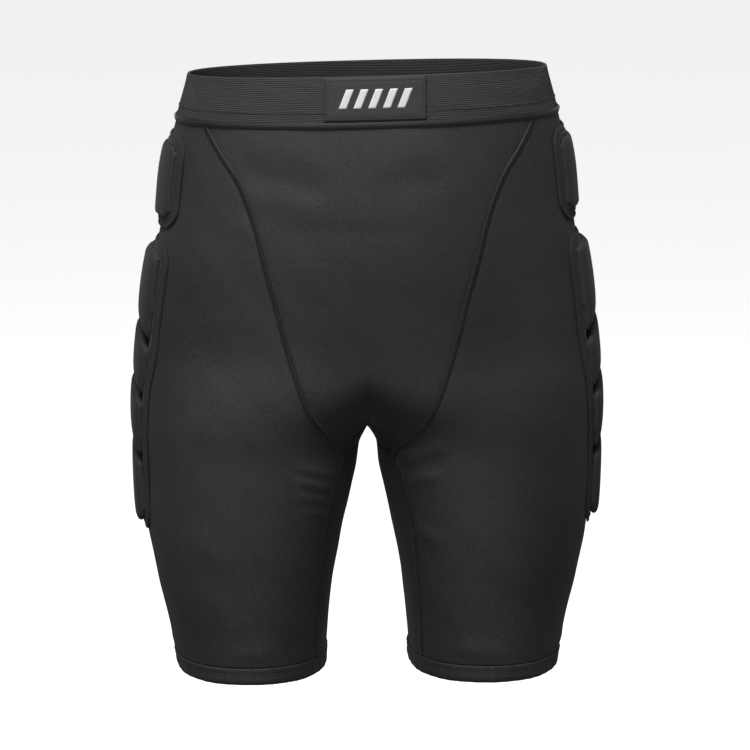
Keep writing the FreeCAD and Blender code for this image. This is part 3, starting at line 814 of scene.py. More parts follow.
@dataclass
class Cloth:
    """The stretch fabric panels."""

    shop: Workshop
    front: SeamLine
    back: SeamLine
    thickness: float = 0.0014
    step: float = 0.003
    tuck: float = 0.0015
    band_height: float = 0.034
    hem_height: float = 0.015
    crotch_level: float = 0.310
    front_middle: float = 0.292
    back_middle: float = 0.2925

    def build(self) -> None:
        """Make every panel."""
        front, seat = self._body_panel(False), self._body_panel(True)
        self._finish("front_cloth", front, ["front_panel"], None, FRONT_CUT)
        self._finish("seat_cloth", seat[:, ::-1], ["seat_panel"], None, SEAT_CUT)
        gusset = self._gusset()
        crotch = self._crotch(front[-1], seat[-1], gusset[0])
        self._finish("crotch_cloth", crotch, ["crotch_gusset"], None, CROTCH_CUT)
        for side in Side:
            word = side.word + "_"
            nodes = [word + "hip_panel", word + "hip_flex_fabric", word + "thigh_panel"]
            self._finish(word + "side_cloth", placed(self._outer(), side), nodes, side, SIDE_CUT)
            inner = placed(gusset, side)
            self._finish(word + "inner_gusset_cloth", inner, [word + "inner_gusset"], side, GUSSET_CUT)

    def _rows(self, top: float, bottom: float) -> np.ndarray:
        """Levels from top to bottom at the cloth's step."""
        return np.linspace(-top, -bottom, int((bottom - top) / self.step))

    def _between(self, z: float, start: float, end: float, count: int) -> np.ndarray:
        """Evenly spaced points of one level between two angles."""
        dense = self.shop.form.point(np.full(count * 4, z), np.linspace(start, end, count * 4))
        return resample(dense, count)

    def _outer(self) -> np.ndarray:
        """The side of the body and leg, from the front seam round to the back seam."""
        form = self.shop.form
        rows = []
        for z in self._rows(self.band_height - self.tuck, form.height - self.hem_height + self.tuck):
            start = form.angle_at(z, self.front.x_at(z), False)
            end = form.angle_at(z, self.back.x_at(z), True)
            rows.append(self._between(z, float(start), float(end), 110))
        return np.array(rows)

    def _gusset(self) -> np.ndarray:
        """The inner thigh, from the back seam round to the front seam."""
        form = self.shop.form
        rows = []
        for z in self._rows(self.crotch_level, form.height - self.hem_height + self.tuck):
            start = form.angle_at(z, self.back.x_at(z), True)
            end = 2.0 * math.pi + form.angle_at(z, self.front.x_at(z), False)
            rows.append(self._between(z, float(start), float(end), 34))
        return np.array(rows)

    def _body_panel(self, back: bool) -> np.ndarray:
        """The front or back of the body, from the band down to the crotch, left to right.

        Args:
            back: True for the seat.

        Returns:
            Grid whose columns run from the right seam to the left seam.
        """
        form = self.shop.form
        seam = self.back if back else self.front
        top = self.band_height - self.tuck
        middle_end = self.back_middle if back else self.front_middle
        level = 0.235
        edge = self._rows(top, self.crotch_level)
        rows = []
        for z_edge in edge:
            below = np.clip((-z_edge - level) / (self.crotch_level - level), 0.0, 1.0)
            z_middle = z_edge if below <= 0.0 else -(level + below * (middle_end - level))
            t = np.linspace(0.0, 1.0, 200)
            x = t * float(seam.x_at(z_edge))
            z = z_middle + (z_edge - z_middle) * t ** 2
            half = form.point(z, form.angle_at(z, x, back))
            whole = np.concatenate([half[::-1] * (-1.0, 1.0, 1.0), half[1:]])
            rows.append(resample(whole, 81))
        return np.array(rows)

    def _crotch(self, front: np.ndarray, seat: np.ndarray, inner: np.ndarray) -> np.ndarray:
        """Patch between the panels and the two inner thighs, blended from its edges.

        Args:
            front: Last row of the front panel, right to left.
            seat: Last row of the seat, right to left.
            inner: First row of the left gusset, back to front.

        Returns:
            Grid whose rows run from the front to the back.
        """
        form = self.shop.form
        half = front.shape[0] // 2
        first, last = front[half:], seat[half:]
        side = resample(inner[::-1], 33)
        y = np.linspace(first[0][1], last[0][1], 33)
        level = np.interp(y, [y[0], 0.0, y[-1]], [first[0][2], -form.crotch_drop, last[0][2]])
        line = np.stack([np.zeros(33), y, level], axis=1)
        p = np.linspace(0.0, 1.0, 33)[:, None, None]
        q = np.linspace(0.0, 1.0, len(first))[None, :, None]
        ruled = (1 - q) * line[:, None] + q * side[:, None]
        wide = (side[:, 0] / side[0, 0])[:, None, None]
        patch = ruled + wide * (1 - p) ** 2 * (first[None] - ruled[:1])
        patch = patch + wide * p ** 2 * (last[None] - ruled[-1:])
        return np.concatenate([(patch * (-1.0, 1.0, 1.0))[:, ::-1], patch[:, 1:]], axis=1)

    def _finish(self, name: str, grid: np.ndarray, nodes: list[str], side: Side | None,
                cut: Cut) -> None:
        """Shape the folds, thicken and dress one panel, hide its frame parts, and tie it to the hips or bake
        its placement.
        """
        shop = self.shop
        normals = grid_normals(grid)
        edge = np.minimum.reduce(np.broadcast_arrays(
            np.arange(grid.shape[1])[None, :], np.arange(grid.shape[1])[::-1][None, :]))
        dip = -0.0006 * np.exp(-((edge * self.step * 0.8 / 0.004) ** 2))
        shaped = grid + normals * (shop.form.relief(grid) + dip)[..., None]
        shaped = shop.form.settle(shaped)
        obj = mesh_object(name, shaped.reshape(-1, 3), grid_faces(*grid.shape[:2]), grid_uvs(grid))
        obj = thickened(obj, self.thickness)
        shop.wardrobe.dress(obj, STRETCH)
        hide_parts(*nodes)
        if side is None:
            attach(obj, "hips")
        else:
            shop.hip.bend(obj, side)
        shop.report(obj)


@dataclass
class Seams:
    """Flatlock seams: a flat raised strip with zigzag threads over it."""

    shop: Workshop
    front: SeamLine
    back: SeamLine
    width: float = 0.0052
    rise: float = 0.0007
    pitch: float = 0.0016
    top: float = 0.036
    hem_height: float = 0.015

    def build(self) -> None:
        """Make the front and back seams of both sides."""
        for side in Side:
            for line in (self.front, self.back):
                self._seam(line, side)

    def _seam(self, line: SeamLine, side: Side) -> None:
        """Make one seam."""
        shop, form = self.shop, self.shop.form
        z = np.linspace(-self.top, self.hem_height - form.height, 260)
        angle = form.angle_at(z, line.x_at(z), line.back)
        points, normals = form.point(z, angle), form.normal(z, angle)
        if side is Side.RIGHT:
            points, normals = points * (-1.0, 1.0, 1.0), normals * (-1.0, 1.0, 1.0)
        ahead = np.gradient(points, axis=0)
        across = np.cross(ahead, normals)
        across = across / np.linalg.norm(across, axis=1, keepdims=True)
        where = "back" if line.back else "front"
        name = "%s_%s_flatlock" % (side.word, where)
        columns = []
        profile = ((-1.0, -0.9), (-0.8, 0.55), (-0.3, 0.95), (0.0, 0.75),
                   (0.3, 0.95), (0.8, 0.55), (1.0, -0.9))
        for share, lift in profile:
            columns.append(points + across * share * self.width / 2.0 + normals * (lift * self.rise))
        grid = form.settle(np.stack(columns[::-1], axis=1))
        strip = mesh_object(name, grid.reshape(-1, 3), grid_faces(*grid.shape[:2]))
        strip = thickened(strip, 0.0006)
        shop.wardrobe.dress(strip, SEAM)
        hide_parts("%s_%s_seam" % (side.word, where), "%s_inner_%s_seam" % (side.word, where))
        shop.hip.bend(strip, side)
        shop.report(strip)
        self._threads(name + "_threads", Path(form.settle(points), normals), side)

    def _threads(self, name: str, path: Path, side: Side) -> None:
        """Zigzag threads over a seam."""
        shop = self.shop
        centres, runs, facing = path.at_pitch(self.pitch)
        runs = runs / np.linalg.norm(runs, axis=1, keepdims=True)
        across = np.cross(facing, runs)
        lean = np.where(np.arange(len(runs)) % 2 == 0, 1.0, -1.0)[:, None]
        slant = across + 0.38 * lean * runs
        centres = centres + facing * (self.rise + 0.0001)
        sizes = {"Length": self.width * 0.98, "Width": 0.0007, "Height": 0.0005, "Wobble": 0.05}
        obj = shop.stitches.sew(name, centres, slant, facing, shop.wardrobe.materials[SEAM], sizes)
        shop.hip.bend(obj, side)
        shop.report(obj)


@dataclass
class Waist:
    """Ribbed elastic band, its lip, stitch rows and a plain label."""

    shop: Workshop
    height: float = 0.034
    thickness: float = 0.0022
    rib: float = 0.0014
    rib_depth: float = 0.00016
    label_half_width: float = 0.040
    label_shift: float = 0.003
    label_top: float = 0.0005
    label_bottom: float = 0.0315
    label_thickness: float = 0.0008
    rim: float = 0.0012
    girth: float = 0.8

    def build(self) -> None:
        """Make the band and everything sewn to it."""
        self._band()
        self._lip()
        self._row("waistband_upper_thread", "waistband_upper_stitching", 0.0255, 0.0007)
        self._row("waistband_lower_thread", "waistband_lower_stitching", 0.0346, 0.0020)
        self._label()

    def _swept(self, name: str, profile: list[tuple[float, float]], count: int) -> bpy.types.Object:
        """Closed ring of a closed profile of (out, level) points round the waist."""
        rows = [self.shop.ring(z, out, count, None).points for out, z in profile]
        grid = np.array(rows)
        faces = grid_faces(*grid.shape[:2], wrap_rows=True, wrap_cols=True)
        return mesh_object(name, grid.reshape(-1, 3), faces, self._ring_uvs(grid))

    def _ring_uvs(self, grid: np.ndarray) -> np.ndarray:
        """Cloth coordinates of a ring: round it and up it, in metres."""
        rows, cols = grid.shape[:2]
        u = np.linspace(0.0, self.girth, cols, endpoint=False)
        return np.stack([np.repeat(u[None], rows, 0), grid[..., 2]], axis=-1).reshape(-1, 2)

    def _band(self) -> None:
        """The elastic, ribbed outside and in, with a soft rolled rim."""
        shop = self.shop
        profile = []
        steps = 120
        for i in range(steps + 1):
            z = -self.rim - (self.height - self.rim) * i / steps
            bulge = 0.0004 * math.sin(math.pi * i / steps)
            profile.append((bulge + self.rib_depth * math.sin(2 * math.pi * z / self.rib), z))
        inner = -self.thickness
        steps = 40
        for i in range(steps + 1):
            z = -self.height + (self.height - self.rim) * i / steps
            profile.append((inner + 0.5 * self.rib_depth * math.sin(2 * math.pi * z / self.rib), z))
        for i in range(1, 6):
            turn = math.pi * i / 6
            radius = self.thickness / 2.0
            profile.append((-radius - radius * math.cos(turn), -self.rim + self.rim * math.sin(turn)))
        obj = self._swept("ribbed_waistband", profile, 280)
        shop.wardrobe.dress(obj, ELASTIC)
        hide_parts("waistband_elastic")
        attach(obj, "hips")
        shop.report(obj)

    def _lip(self) -> None:
        """The folded edge where the band meets the cloth."""
        shop = self.shop
        profile = []
        for i in range(12):
            turn = 2.0 * math.pi * i / 12
            profile.append((0.0006 + 0.0009 * math.cos(turn), -self.height - 0.0009 + 0.0026 * math.sin(turn)))
        obj = self._swept("waistband_lip", profile[::-1], 280)
        shop.wardrobe.dress(obj, SEAM)
        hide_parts("waistband_edge_tape")
        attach(obj, "hips")
        shop.report(obj)

    def _row(self, name: str, node: str, level: float, out: float) -> None:
        """One row of stitches round the band."""
        shop = self.shop
        centres, runs, facing = shop.ring(-level, out, 400, None).at_pitch(0.0030)
        material = shop.wardrobe.materials[THREAD]
        sizes = {"Length": 0.0024, "Width": 0.0007, "Height": 0.0006}
        obj = shop.stitches.sew(name, centres, runs, facing, material, sizes)
        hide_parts(node)
        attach(obj, "hips")
        shop.report(obj)

    def _on_label(self, x: np.ndarray, z: np.ndarray, out: float) -> np.ndarray:
        """Points on the front of the band, out from it."""
        form = self.shop.form
        near = np.abs(x)
        angle = form.angle_at(z, near, False)
        points = form.point(z, angle) + out * form.normal(z, angle)
        points[..., 0] *= np.where(x < 0, -1.0, 1.0)
        return form.settle(points)

    def _label(self) -> None:
        """Plain woven patch with a sewn edge and a row of slanted bars."""
        shop = self.shop
        left, right = self.label_shift - self.label_half_width, self.label_shift + self.label_half_width
        x, z = np.meshgrid(np.linspace(left, right, 65), -np.linspace(self.label_top, self.label_bottom, 29))
        ends = np.minimum(x - left, right - x)
        edge = np.minimum(ends, np.minimum(-self.label_top - z, z + self.label_bottom))
        rise = 0.0022 - 0.0007 * np.exp(-edge / 0.0012)
        rise = rise - 0.00025 * np.exp(-(((edge - 0.0026) / 0.0008) ** 2))
        grid = np.stack([self._on_label(x[r], z[r], 0.0) for r in range(len(x))])
        grid = grid + grid_normals(grid) * rise[..., None]
        obj = mesh_object("plain_label", grid.reshape(-1, 3), grid_faces(*grid.shape[:2]), grid_uvs(grid))
        obj = thickened(obj, self.label_thickness)
        shop.wardrobe.dress(obj, LABEL)
        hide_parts("waist_label")
        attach(obj, "hips")
        shop.report(obj)
        inset = 0.0026
        low, high = -self.label_bottom + inset, -self.label_top - inset
        left, right = left + inset, right - inset
        corners = [(left, low), (right, low), (right, high), (left, high)]
        xs, zs = [], []
        for (xa, za), (xb, zb) in zip(corners, corners[1:] + corners[:1]):
            t = np.linspace(0.0, 1.0, 40, endpoint=False)
            xs.append(xa + (xb - xa) * t)
            zs.append(za + (zb - za) * t)
        points = self._on_label(np.concatenate(xs), np.concatenate(zs), 0.0021)
        facing = np.repeat(np.array([[0.0, -1.0, 0.0]]), len(points), axis=0)
        centres, runs, facing = Path(points, facing, closed=True).at_pitch(0.0026)
        sizes = {"Length": 0.0020, "Width": 0.0006, "Height": 0.0005}
        material = shop.wardrobe.materials[THREAD]
        thread = shop.stitches.sew("label_thread", centres, runs, facing, material, sizes)
        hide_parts("waist_label_stitching")
        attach(thread, "hips")
        shop.report(thread)
        self._bars()

    def _bars(self) -> None:
        """Five slanted woven bars, a plain mark."""
        shop = self.shop
        verts, faces = [], []
        middle = -(self.label_top + self.label_bottom) / 2.0
        for i in range(5):
            centre = self.label_shift + (i - 2) * 0.0115
            t, s = np.meshgrid(np.linspace(-1.0, 1.0, 6), np.linspace(-1.0, 1.0, 13))
            z = middle - s * 0.0068
            x = centre + t * 0.0030 - s * 0.0030
            grid = np.stack([self._on_label(x[r], z[r], 0.0024) for r in range(len(x))])
            faces += [tuple(len(verts) + k for k in face) for face in grid_faces(*grid.shape[:2])]
            verts += list(grid.reshape(-1, 3))
        obj = thickened(mesh_object("label_bars", np.array(verts), faces), 0.0004)
        shop.wardrobe.dress(obj, PALE)
        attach(obj, "hips")
        shop.report(obj)


@dataclass
class Hems:
    """Folded hem bands and their twin stitch rows."""

    shop: Workshop
    height: float = 0.015
    girth: float = 0.43

    def build(self) -> None:
        """Make both hems."""
        for side in Side:
            self._band(side)
            for name, depth in (("upper", 0.0028), ("lower", 0.0066)):
                self._row(name, depth, side)

    def _band(self, side: Side) -> None:
        """The folded cloth, rounded at its lower edge."""
        shop, base = self.shop, self.shop.form.height
        steps = ((0.0, 0.0145), (0.0008, 0.0147), (0.0013, 0.0138), (0.0009, 0.0122),
                 (0.0013, 0.0104), (0.0009, 0.0084), (0.0015, 0.0062), (0.0016, 0.0036),
                 (0.0013, 0.0014), (0.0004, 0.0002), (-0.0008, 0.0002), (-0.0016, 0.0014),
                 (-0.0018, 0.0040), (-0.0018, 0.0085), (-0.0018, 0.0135), (-0.0010, 0.0145))
        count = 200
        angles = np.linspace(0.0, 2.0 * math.pi, count, endpoint=False)
        rows = []
        for out, up in steps:
            ripple = 0.0002 * np.sin(37.0 * angles) + 0.00025 * np.sin(11.0 * angles + 1.0)
            ring = shop.ring(up - base, out, count, side)
            rows.append(ring.points + ring.normals * (ripple * (out > 0))[:, None])
        grid = np.array(rows)
        u = np.linspace(0.0, self.girth, count, endpoint=False)
        uvs = np.stack([np.repeat(u[None], len(steps), 0), grid[..., 2]], axis=-1).reshape(-1, 2)
        faces = grid_faces(*grid.shape[:2], wrap_rows=True, wrap_cols=True)
        obj = mesh_object(side.word + "_hem_fold", grid.reshape(-1, 3), faces, uvs)
        shop.wardrobe.dress(obj, STRETCH)
        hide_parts(side.word + "_hem_band")
        shop.hip.bend(obj, side)
        shop.report(obj)

    def _row(self, name: str, depth: float, side: Side) -> None:
        """One row of stitches round a hem."""
        shop = self.shop
        level = shop.form.height - self.height + depth
        centres, runs, facing = shop.ring(-level, 0.0011, 240, side).at_pitch(0.0028)
        sizes = {"Length": 0.0022, "Width": 0.0006, "Height": 0.0005}
        piece = "%s_hem_%s_thread" % (side.word, name)
        obj = shop.stitches.sew(piece, centres, runs, facing, shop.wardrobe.materials[THREAD], sizes)
        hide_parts("%s_hem_%s_stitching" % (side.word, name))
        shop.hip.bend(obj, side)
        shop.report(obj)


class Place(Enum):
    """Where on the garment a pad is sewn."""

    SIDE = "side"
    BACK = "back"


@dataclass
class Pad:
    """A sewn pad: foam blocks under knit, a flange round them and a stitch row."""

    shop: Workshop
    name: str
    place: Place
    top: float
    bottom: float
    half_top: float
    half_bottom: float
    centre: float = 0.004
    grooves: tuple[float, ...] = ()
    chevron_drop: float = 0.022
    groove: float = 0.0042
    thick: float = 0.0080
    base: float = 0.0012
    flange: float = 0.0052
    corner: float = 0.012
    edge: float = 0.0055

    def half(self, level: np.ndarray) -> np.ndarray:
        """Half width of the pad at a depth below the rim."""
        share = np.clip((level - self.top) / (self.bottom - self.top), -0.2, 1.2)
        return self.half_top + share * (self.half_bottom - self.half_top)

    def on_form(self, across: np.ndarray, z: np.ndarray) -> np.ndarray:
        """Point of the garment under a place on the pad."""
        form = self.shop.form
        return form.side(across, z) if self.place is Place.SIDE else form.behind(across, z)

    def raised(self, across: np.ndarray, z: np.ndarray, out: np.ndarray) -> np.ndarray:
        """Point above a place on the pad."""
        d = 1e-3
        du = self.on_form(across + d, z) - self.on_form(across - d, z)
        dz = self.on_form(across, z - d) - self.on_form(across, z + d)
        normal = np.cross(dz, du)
        if self.place is Place.BACK:
            normal = -normal
        normal = normal / np.linalg.norm(normal, axis=-1, keepdims=True)
        return self.on_form(across, z) + normal * np.asarray(out)[..., None]

    def outline(self, inset: float, count: int = 220) -> tuple[np.ndarray, np.ndarray]:
        """Rounded outline of the pad, moved inwards.

        Args:
            inset: Distance inwards, negative outwards.
            count: Number of points.

        Returns:
            Places across and levels z along the outline.
        """
        radius = max(self.corner - inset, 0.002)
        top, bottom = self.top + inset, self.bottom - inset
        corners = [(-1.0, top, 180.0), (1.0, top, 270.0), (1.0, bottom, 0.0), (-1.0, bottom, 90.0)]
        pts = []
        for sign, level, start in corners:
            half = float(self.half(np.array(level))) - inset
            cx = self.centre + sign * (half - radius)
            cz = level + radius if level == top else level - radius
            for k in range(9):
                turn = math.radians(start + 90.0 * k / 8)
                pts.append((cx + radius * math.cos(turn), -(cz + radius * math.sin(turn)), 0.0))
        line = resample(np.array(pts + pts[:1]), count + 1)[:-1]
        return line[:, 0], line[:, 1]

    def build_blocks(self) -> list[bpy.types.Object]:
        """Make the foam blocks, puffed by simulation."""
        edges = [self.top] + list(self.grooves) + [self.bottom]
        blocks = []
        for index in range(len(edges) - 1):
            first, last = index == 0, index == len(edges) - 2
            name = self.name + ("_block_%d" % (index + 1) if self.grooves else "_block")
            blocks.append(self._block(name, edges[index], edges[index + 1], first, last))
        return blocks

    def _block(self, name: str, top: float, bottom: float, first: bool, last: bool) -> bpy.types.Object:
        """One foam block with a crowned face and chevron ends where it meets others."""
        gap = self.groove / 2.0
        u, v = np.meshgrid(np.linspace(-1.0, 1.0, 41), np.linspace(0.0, 1.0, 33))
        upper = top + (0.0 if first else gap + self.chevron_drop * np.abs(u))
        lower = bottom - (0.0 if last else gap) + (0.0 if last else self.chevron_drop * np.abs(u))
        level = upper + v * (lower - upper)
        width = self.half(level)
        near_top, near_bottom = level - upper, lower - level
        for near, rounded in ((near_top, first), (near_bottom, last)):
            radius = self.corner if rounded else 0.005
            cut = np.clip(radius - near, 0.0, radius)
            width = width - (radius - np.sqrt(radius ** 2 - cut ** 2))
        across = self.centre + u * width
        to_side = (1.0 - np.abs(u)) * width
        fall = np.minimum(np.minimum(near_top, near_bottom), to_side)
        round_off = np.sqrt(np.clip(1.0 - (1.0 - np.clip(fall / self.edge, 0.0, 1.0)) ** 2, 0.0, 1.0))
        crown = 0.0012 * (1.0 - u ** 2) * (1.0 - (2.0 * v - 1.0) ** 2)
        face = self.raised(across, -level, self.base + 0.0006 + (self.thick - 0.002) * round_off + crown)
        under = self.raised(across, -level, np.full(level.shape, self.base))
        rows, cols = u.shape
        verts = np.concatenate([face.reshape(-1, 3), under.reshape(-1, 3)])
        front = grid_faces(rows, cols)
        faces = list(front) + [tuple(k + rows * cols for k in f[::-1]) for f in front]
        rim = ([(0, c) for c in range(cols)] + [(r, cols - 1) for r in range(1, rows)]
               + [(rows - 1, c) for c in range(cols - 2, -1, -1)] + [(r, 0) for r in range(rows - 2, 0, -1)])
        ids = [r * cols + c for r, c in rim]
        for a, b in zip(ids, ids[1:] + ids[:1]):
            faces.append((a, b, b + rows * cols, a + rows * cols))
        if self.place is Place.BACK:
            faces = [f[::-1] for f in faces]
        obj = mesh_object(name, self.shop.form.settle(verts), faces)
        return Puff().inflate(obj)

    def build_flange(self) -> bpy.types.Object:
        """Sewn border from under the foam out to the cloth."""
        rows = []
        profile = ((0.006, 0.0016), (0.0, 0.0024), (-0.0015, 0.0016), (-0.0030, 0.0013),
                   (-self.flange + 0.001, 0.0018), (-self.flange, 0.0014),
                   (-self.flange - 0.0004, 0.0004))
        for inset, out in profile:
            across, z = self.outline(inset)
            rows.append(self.raised(across, z, np.full(across.shape, out)))
        grid = self.shop.form.settle(np.array(rows))
        faces = grid_faces(*grid.shape[:2], wrap_cols=True)
        if self.place is Place.BACK:
            faces = [f[::-1] for f in faces]
        obj = mesh_object(self.name + "_flange", grid.reshape(-1, 3), faces)
        return thickened(obj, 0.0007)

    def build_thread(self) -> bpy.types.Object:
        """Row of stitches round the flange."""
        across, z = self.outline(-self.flange + 0.0022)
        low = self.raised(across, z, np.full(across.shape, 0.0))
        high = self.raised(across, z, np.full(across.shape, 0.0018))
        path = Path(self.shop.form.settle(high), high - low, closed=True)
        centres, runs, facing = path.at_pitch(0.0028)
        sizes = {"Length": 0.0022, "Width": 0.0006, "Height": 0.0005}
        material = self.shop.wardrobe.materials[THREAD]
        return self.shop.stitches.sew(self.name + "_thread", centres, runs, facing, material, sizes)


@dataclass(frozen=True)
class Puff:
    """Cloth simulation that swells a foam block under its cover."""

    voxel: float = 0.0028
    pressure: float = 4.0
    frames: int = 20
    cap: float = 0.0010

    def inflate(self, obj: bpy.types.Object) -> bpy.types.Object:
        """Remesh, swell, limit the swelling and smooth a closed mesh."""
        remesh = obj.modifiers.new("remesh", "REMESH")
        remesh.mode = "VOXEL"
        remesh.voxel_size = self.voxel
        obj = applied(obj)
        count = len(obj.data.vertices)
        before = np.zeros(count * 3)
        obj.data.vertices.foreach_get("co", before)
        cloth = obj.modifiers.new("cloth", "CLOTH")
        cloth.settings.use_pressure = True
        cloth.settings.uniform_pressure_force = self.pressure
        cloth.settings.effector_weights.gravity = 0.0
        scene = bpy.context.scene
        scene.frame_start, scene.frame_end = 1, self.frames
        for number in range(1, self.frames + 1):
            scene.frame_set(number)
        after = np.zeros(count * 3)
        graph = bpy.context.evaluated_depsgraph_get()
        obj.evaluated_get(graph).data.vertices.foreach_get("co", after)
        obj.modifiers.clear()
        move = (after - before).reshape(-1, 3)
        length = np.linalg.norm(move, axis=1, keepdims=True)
        move = move * np.minimum(1.0, self.cap / np.maximum(length, 1e-9))
        obj.data.vertices.foreach_set("co", (before.reshape(-1, 3) + move).ravel())
        scene.frame_set(1)
        smooth = obj.modifiers.new("smooth", "SMOOTH")
        smooth.factor, smooth.iterations = 0.5, 2
        subdivide = obj.modifiers.new("subdivide", "SUBSURF")
        subdivide.levels = subdivide.render_levels = 1
        obj = applied(obj)
        obj.data.polygons.foreach_set("use_smooth", [True] * len(obj.data.polygons))
        return obj


@dataclass
class Padding:
    """All the pads: upper hip and side pads on both sides, and the tailbone pad."""

    shop: Workshop

    def build(self) -> None:
        """Make the pads; the right ones mirror the left."""
        upper = Pad(self.shop, "left_upper_hip_pad", Place.SIDE, 0.054, 0.118, 0.050, 0.050, thick=0.0055)
        side = Pad(self.shop, "left_side_pad", Place.SIDE, 0.142, 0.375, 0.045, 0.034,
                   grooves=(0.199, 0.245, 0.297))
        tail = Pad(self.shop, "tailbone_pad", Place.BACK, 0.092, 0.212, 0.058, 0.030, centre=0.0,
                   grooves=(0.132, 0.170))
        for pad in (upper, side, tail):
            pieces = [(obj, "block") for obj in pad.build_blocks()]
            pieces.append((pad.build_flange(), "flange"))
            pieces.append((pad.build_thread(), "thread"))
            if pad is not tail:
                pieces += [(self._twin(obj), kind) for obj, kind in pieces]
            for obj, kind in pieces:
                self._finish(obj, kind)

    def _twin(self, obj: bpy.types.Object) -> bpy.types.Object:
        """The right-hand copy, shifted as the garment sits."""
        form = self.shop.form
        twin = mirrored(obj, obj.name.replace("left", "right", 1))
        count = len(twin.data.vertices)
        co = np.zeros(count * 3)
        twin.data.vertices.foreach_get("co", co)
        co = co.reshape(-1, 3)
        fade = np.clip(1.0 + co[:, 2] / form.height, 0.0, 1.0)
        co[:, 2] += 2.0 * form.lean * co[:, 0] * fade
        twin.data.vertices.foreach_set("co", co.ravel())
        twin.data.update()
        return twin

    def _finish(self, obj: bpy.types.Object, kind: str) -> None:
        """Dress a pad piece and tie it to the hips; a side pad only has its placement baked into its mesh."""
        shop = self.shop
        looks = {
            "block": (PAD_KNIT, "pad_foam"),
            "flange": (BINDING, "pad_binding"),
            "thread": (THREAD, "thread"),
        }
        finish, slot = looks[kind]
        shop.wardrobe.dress(obj, finish)
        stem = obj.name.split("_block")[0].split("_flange")[0]
        if kind == "block":
            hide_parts(obj.name.replace("_block", "_foam"))
        elif kind == "flange":
            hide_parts(stem + "_backing", stem + "_binding")
        if "side_pad" in obj.name:
            shop.hip.bend(obj, Side.LEFT if obj.name.startswith("left") else Side.RIGHT)
        else:
            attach(obj, "hips")
        shop.report(obj)


# ---------------------------------------------------------------------------------------- the studio
@dataclass
class Studio:
    """Pale floor, soft lights and the camera."""

    distance: float = 2.443
    camera_height: float = 0.244
    pitch: float = math.radians(11.59)
    azimuth: float = math.radians(2.0)
    turn: float = math.radians(0.15371)
    focal: float = 143.1
    floor_level: float = -0.80
    ambient: float = 0.13
    floor_glow: float = 0.75
    aim: tuple[float, float, float] = (0.0, 0.0, -0.25)

    def build(self) -> None:
        """Make the floor, the lights and the camera."""
        scene = bpy.context.scene
        scene.view_settings.view_transform = "Standard"
        corners = [(x, y, self.floor_level) for x, y in ((-30, -30), (30, -30), (30, 60), (-30, 60))]
        floor = mesh_object("floor", np.array(corners), [(0, 1, 2, 3)])
        material = bpy.data.materials.new("pale_floor")
        material.use_nodes = True
        shader = material.node_tree.nodes["Principled BSDF"]
        shader.inputs["Base Color"].default_value = (0.92, 0.92, 0.92, 1.0)
        shader.inputs["Roughness"].default_value = 0.9
        floor.data.materials.append(material)
        floor.visible_diffuse = False
        floor.visible_glossy = False
        shader.inputs["Emission Color"].default_value = (1.0, 1.0, 1.0, 1.0)
        shader.inputs["Emission Strength"].default_value = self.floor_glow
        world = bpy.data.worlds.new("studio")
        scene.world = world
        world.use_nodes = True
        nodes, links = world.node_tree.nodes, world.node_tree.links
        seen = nodes.new("ShaderNodeLightPath")
        strength = nodes.new("ShaderNodeMapRange")
        strength.inputs["To Min"].default_value = self.ambient
        strength.inputs["To Max"].default_value = 1.0
        links.new(seen.outputs["Is Camera Ray"], strength.inputs["Value"])
        nodes["Background"].inputs[0].default_value = (1.0, 1.0, 1.0, 1.0)
        links.new(strength.outputs["Result"], nodes["Background"].inputs[1])
        self._light("top_soft", (-0.25, -1.15, 1.75), 1.1, 64.0)
        self._light("left_rim", (-2.0, -0.9, 0.9), 1.0, 7.0)
        self._light("right_rim", (2.0, -0.9, 0.9), 1.0, 4.0)
        self._light("low_fill", (-0.3, -2.5, -0.2), 1.6, 16.0)
        self._camera()

    def _light(self, name: str, place: tuple[float, float, float], size: float, power: float) -> None:
        """Square soft light aimed at the shorts."""
        light = bpy.data.lights.new(name, "AREA")
        light.size = size
        light.energy = power
        obj = bpy.data.objects.new(name, light)
        obj.location = place
        sight = Vector(self.aim) - Vector(place)
        obj.rotation_euler = sight.to_track_quat("-Z", "Y").to_euler()
        bpy.context.scene.collection.objects.link(obj)

    def _camera(self) -> None:
        """Camera in front, a little above the rim."""
        data = bpy.data.cameras.new("camera")
        data.lens = self.focal
        data.sensor_width = 36.0
        camera = bpy.data.objects.new("camera", data)
        aside = -self.distance * math.sin(self.azimuth)
        before = -self.distance * math.cos(self.azimuth)
        camera.location = (aside, before, self.camera_height)
        camera.rotation_euler = (math.pi / 2.0 - self.pitch, 0.0, -self.azimuth - self.turn)
        bpy.context.scene.collection.objects.link(camera)
        bpy.context.scene.camera = camera


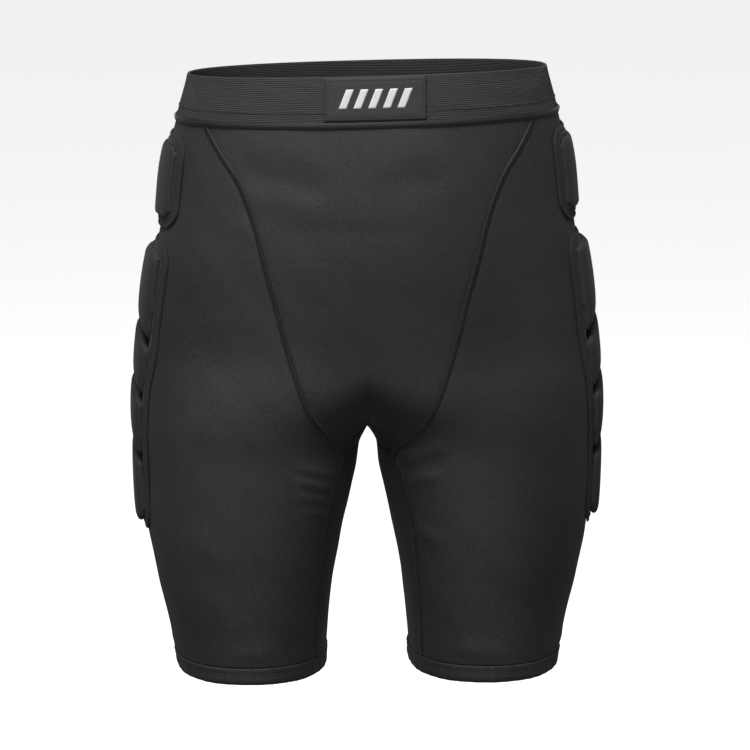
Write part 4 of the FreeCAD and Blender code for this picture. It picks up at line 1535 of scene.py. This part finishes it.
def cloth_folds() -> list[Fold]:
    """The soft folds of the worn cloth."""
    return [
        Fold((-0.108, -0.086, -0.068), (-0.030, -0.105, -0.088), 0.013, -0.0021),
        Fold((0.004, -0.106, -0.086), (0.068, -0.100, -0.073), 0.013, -0.0015),
        Fold((-0.095, -0.092, -0.090), (-0.020, -0.105, -0.106), 0.012, 0.0007),
        Fold((-0.066, -0.102, -0.119), (0.036, -0.108, -0.121), 0.006, -0.0006),
        Fold((-0.110, -0.085, -0.110), (-0.085, -0.095, -0.128), 0.008, 0.0012),
        Fold((-0.155, -0.055, -0.038), (-0.142, -0.068, -0.060), 0.005, 0.0026),
        Fold((-0.160, -0.035, -0.038), (-0.152, -0.048, -0.064), 0.004, 0.0022),
        Fold((0.152, -0.055, -0.038), (0.142, -0.068, -0.056), 0.005, 0.0018),
        Fold((-0.024, -0.060, -0.330), (-0.060, -0.086, -0.314), 0.004, 0.0022),
        Fold((-0.026, -0.062, -0.341), (-0.062, -0.086, -0.326), 0.004, 0.0024),
        Fold((-0.028, -0.062, -0.352), (-0.060, -0.084, -0.339), 0.004, 0.0022),
        Fold((-0.030, -0.062, -0.363), (-0.054, -0.080, -0.353), 0.004, 0.0016),
        Fold((0.022, -0.058, -0.318), (0.062, -0.088, -0.298), 0.006, 0.0022),
        Fold((0.026, -0.060, -0.336), (0.058, -0.084, -0.322), 0.005, 0.0016),
        Fold((0.028, -0.060, -0.372), (0.060, -0.080, -0.384), 0.006, 0.0012),
        Fold((-0.110, -0.080, -0.400), (-0.150, -0.060, -0.372), 0.014, 0.0014),
        Fold((0.080, -0.080, -0.396), (0.140, -0.066, -0.420), 0.014, 0.0012),
        Fold((-0.158, -0.040, -0.477), (-0.150, 0.050, -0.478), 0.007, 0.0026),
        Fold((0.158, -0.040, -0.477), (0.150, 0.050, -0.478), 0.007, 0.0026),
        Fold((-0.080, -0.076, -0.474), (-0.120, -0.072, -0.477), 0.007, 0.0012),
        Fold((0.060, -0.076, -0.474), (0.120, -0.072, -0.476), 0.007, 0.0012),
        Fold((-0.070, 0.110, -0.262), (0.070, 0.110, -0.262), 0.012, -0.0018),
        Fold((-0.110, 0.088, -0.300), (-0.050, 0.088, -0.288), 0.010, 0.0016),
        Fold((0.050, 0.088, -0.288), (0.110, 0.088, -0.300), 0.010, 0.0016),
        Fold((-0.060, 0.108, -0.060), (0.060, 0.108, -0.056), 0.012, -0.0014),
    ]


def main() -> None:
    """Build every sub-assembly in order."""
    form = GarmentForm(folds=cloth_folds())
    shop = Workshop(form, Wardrobe(), StitchTree(), Hip())
    front, back = seam_line(form, False), seam_line(form, True)
    Cloth(shop, front, back).build()
    Seams(shop, front, back).build()
    Waist(shop).build()
    Hems(shop).build()
    Padding(shop).build()
    Studio().build()


if __name__ == "__main__":
    main()
